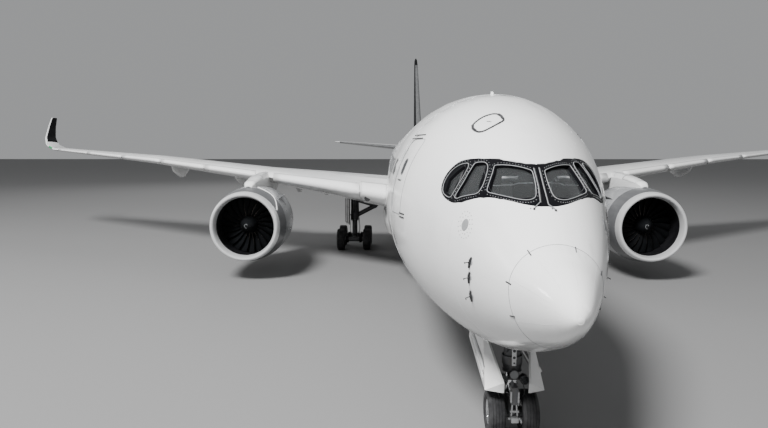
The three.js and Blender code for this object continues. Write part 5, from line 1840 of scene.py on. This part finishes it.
# %% [markdown]
# Each main leg gets its piston, the collars and pins that hold it, the bars of the side stay,
# the brake stacks inside the wheels, and the pipes that feed the brakes. The ribs of the leg
# doors follow, because the leg carries its door.

# %% Main legs
AXLE_Z = 0.7
# distance from the bogie beam, radius of the three discs of a brake stack
BRAKE_DISCS = [(0.36, 0.235), (0.42, 0.225), (0.48, 0.215)]
BRAKE_THICK = 0.045
PISTON = ((0, MAIN_LEG, 0.92), (0, MAIN_LEG, 1.94), 0.175, 40)
# z, radius
COLLARS = [(0.98, 0.2), (1.9, 0.275), (2.02, 0.28), (3.1, 0.27)]
COLLAR_HALF = 0.025
# x counts from the leg: first end, second end, radius, sides
PINS = [
    ((-0.14, 33.3, 1.0), (0.14, 33.3, 1.0), 0.05, 20),
    ((-0.14, 33.3, 1.72), (0.14, 33.3, 1.72), 0.05, 20),
    ((-0.14, 33.76, 1.4), (0.14, 33.76, 1.4), 0.045, 20),
]
# x counts from the leg towards the cabin: first end, second end, radius, sides
SIDE_STAY = [
    ((0.2, 33.2, 2.26), (1.5, 33.2, 2.93), 0.15, 20),
    ((1.36, 33.2, 2.86), (0.2, 33.2, 3.2), 0.085, 16),
    ((1.36, 33.12, 2.86), (1.36, 33.28, 2.86), 0.17, 20),
]
# x of a leg pipe's ends, then front and rear station of the pipes along the bogie beam
LEG_PIPES = (-0.21, 0.22, 0.26)
BEAM_PIPES = [(33.0, 32.4), (33.4, 34.0)]


def leg_bar(bm, side, first, last, radius, sides, way=1):
    """A bar whose x counts from the leg of that side; way -1 or 1 says in which direction."""
    (x0, s0, z0), (x1, s1, z1) = first, last
    leg = MAIN_X * side
    bar(bm, (leg + x0 * way, s0, z0), (leg + x1 * way, s1, z1), radius, sides)


for side_name, side in SIDES:
    brakes, pistons, collars = bmesh.new(), bmesh.new(), bmesh.new()
    for station in MAIN_AXLES.values():
        for out in (-1, 1):
            for reach, radius in BRAKE_DISCS:
                leg_bar(brakes, side, (reach, station, AXLE_Z),
                        (reach + BRAKE_THICK, station, AXLE_Z), radius, 36, out)
    leg_bar(pistons, side, *PISTON)
    for z, radius in COLLARS:
        leg_bar(collars, side, (0, MAIN_LEG, z - COLLAR_HALF), (0, MAIN_LEG, z + COLLAR_HALF),
                radius, 36)
    for pin in PINS:
        leg_bar(collars, side, *pin)
    for stay in SIDE_STAY:
        leg_bar(collars, side, *stay, -side)
    pipes = [hose([(x, 33.0, 0.86), (x * 1.4, 32.9, 1.3), (x * 1.25, 32.95, 1.9),
                   (x * 1.1, 32.93, 2.6), (x, 32.95, 3.4)], 6, MAIN_X * side)
             for x in LEG_PIPES]
    pipes += [hose([(0.14, front, 0.86), (0.2, (front + rear) / 2, 0.93), (0.3, rear, 0.86)], 6,
                   MAIN_X * side) for front, rear in BEAM_PIPES]
    finish_bmesh(side_name + "_brakes", brakes, "fan_metal")
    # The main pistons take the dark gear colour instead of polished steel: painted shade of the
    # wing's shadow
    finish_bmesh(side_name + "_main_piston", pistons, "gear_metal")
    finish_bmesh(side_name + "_main_collars", collars, "gear_metal")
    draw_lines(side_name + "_main_pipes", pipes, "rubber_hose", radius=0.008, round_steps=2)
draw_lines("leg_door_ribs", ribs, "gear_metal", radius=0.012, round_steps=1)
print("main legs dressed")

# %% [markdown]
# The camera stands a little above the middle of the nose, on the aircraft's right-hand side, and
# looks slightly down along the fuselage. Its place and lens were fitted to the real sizes.

# %% Camera
EYE = at(-2.83, -9.02, 6.64)
LOOK_DOWN, LOOK_LEFT = 0.1025, 0.0111
LENS = 28.95

camera = bpy.data.cameras.new("camera")
camera.sensor_width = 36
camera.lens = LENS
camera.clip_start = 0.05
camera.clip_end = 500
eye = add_object("camera", camera)
eye.location = EYE
eye.rotation_euler = (math.pi / 2 - LOOK_DOWN, 0, LOOK_LEFT)
bpy.context.scene.camera = eye
print("camera at", eye.location)

# %% [markdown]
# The floor is plain, and the light is that of a large studio: an even grey all round and one
# wide soft light high ahead on the right-hand side. A weak one fills in from the left, a small
# one on the right glints along the nose, and one behind lights the tail.

# %% Floor and light
FLOOR_HALF = 220
FLOOR_COLOUR = (0.19, 0.19, 0.19, 1)
WORLD_COLOUR, WORLD_STRENGTH = (0.68, 0.69, 0.7, 1), 0.5
# name, place, point it aims at, size, power, whether it shows in reflections
LIGHTS = [
    ("key", (-15, -32, 32), (0, -8, 2), 12, 46000, False),
    ("fill", (24, -30, 18), (0, -8, 2), 18, 100, False),
    ("glint", (-37, -4.5, 14.5), (0, -16, 2.2), 5, 1200, True),
    ("tail_light", (-14, 34, 24), (0, 10, 3), 18, 4000, False),
]

bm = bmesh.new()
bmesh.ops.create_grid(bm, x_segments=2, y_segments=2, size=FLOOR_HALF)
floor_mesh = bpy.data.meshes.new("floor")
bm.to_mesh(floor_mesh)
bm.free()
floor = add_object("floor", floor_mesh)
floor_finish = bpy.data.materials.new("studio_floor")
floor_finish.use_nodes = True
floor_shader = floor_finish.node_tree.nodes["Principled BSDF"]
floor_shader.inputs["Base Color"].default_value = FLOOR_COLOUR
floor_shader.inputs["Roughness"].default_value = 0.9
floor_mesh.materials.append(floor_finish)

world = bpy.data.worlds.new("studio")
world.use_nodes = True
background = world.node_tree.nodes["Background"]
background.inputs["Color"].default_value = WORLD_COLOUR
background.inputs["Strength"].default_value = WORLD_STRENGTH
bpy.context.scene.world = world

for name, place, aim, size, power, glossy in LIGHTS:
    data = bpy.data.lights.new(name, "AREA")
    data.shape = "DISK"
    data.size = size
    data.energy = power
    lamp = add_object(name, data)
    lamp.location = place
    lamp.rotation_euler = (Vector(aim) - Vector(place)).to_track_quat("-Z", "Y").to_euler()
    lamp.visible_glossy = glossy
print("lights", [light.name for light in bpy.data.lights])

# %% Sizes and finish
print("pieces", len(made), "faces", sum(made.values()))
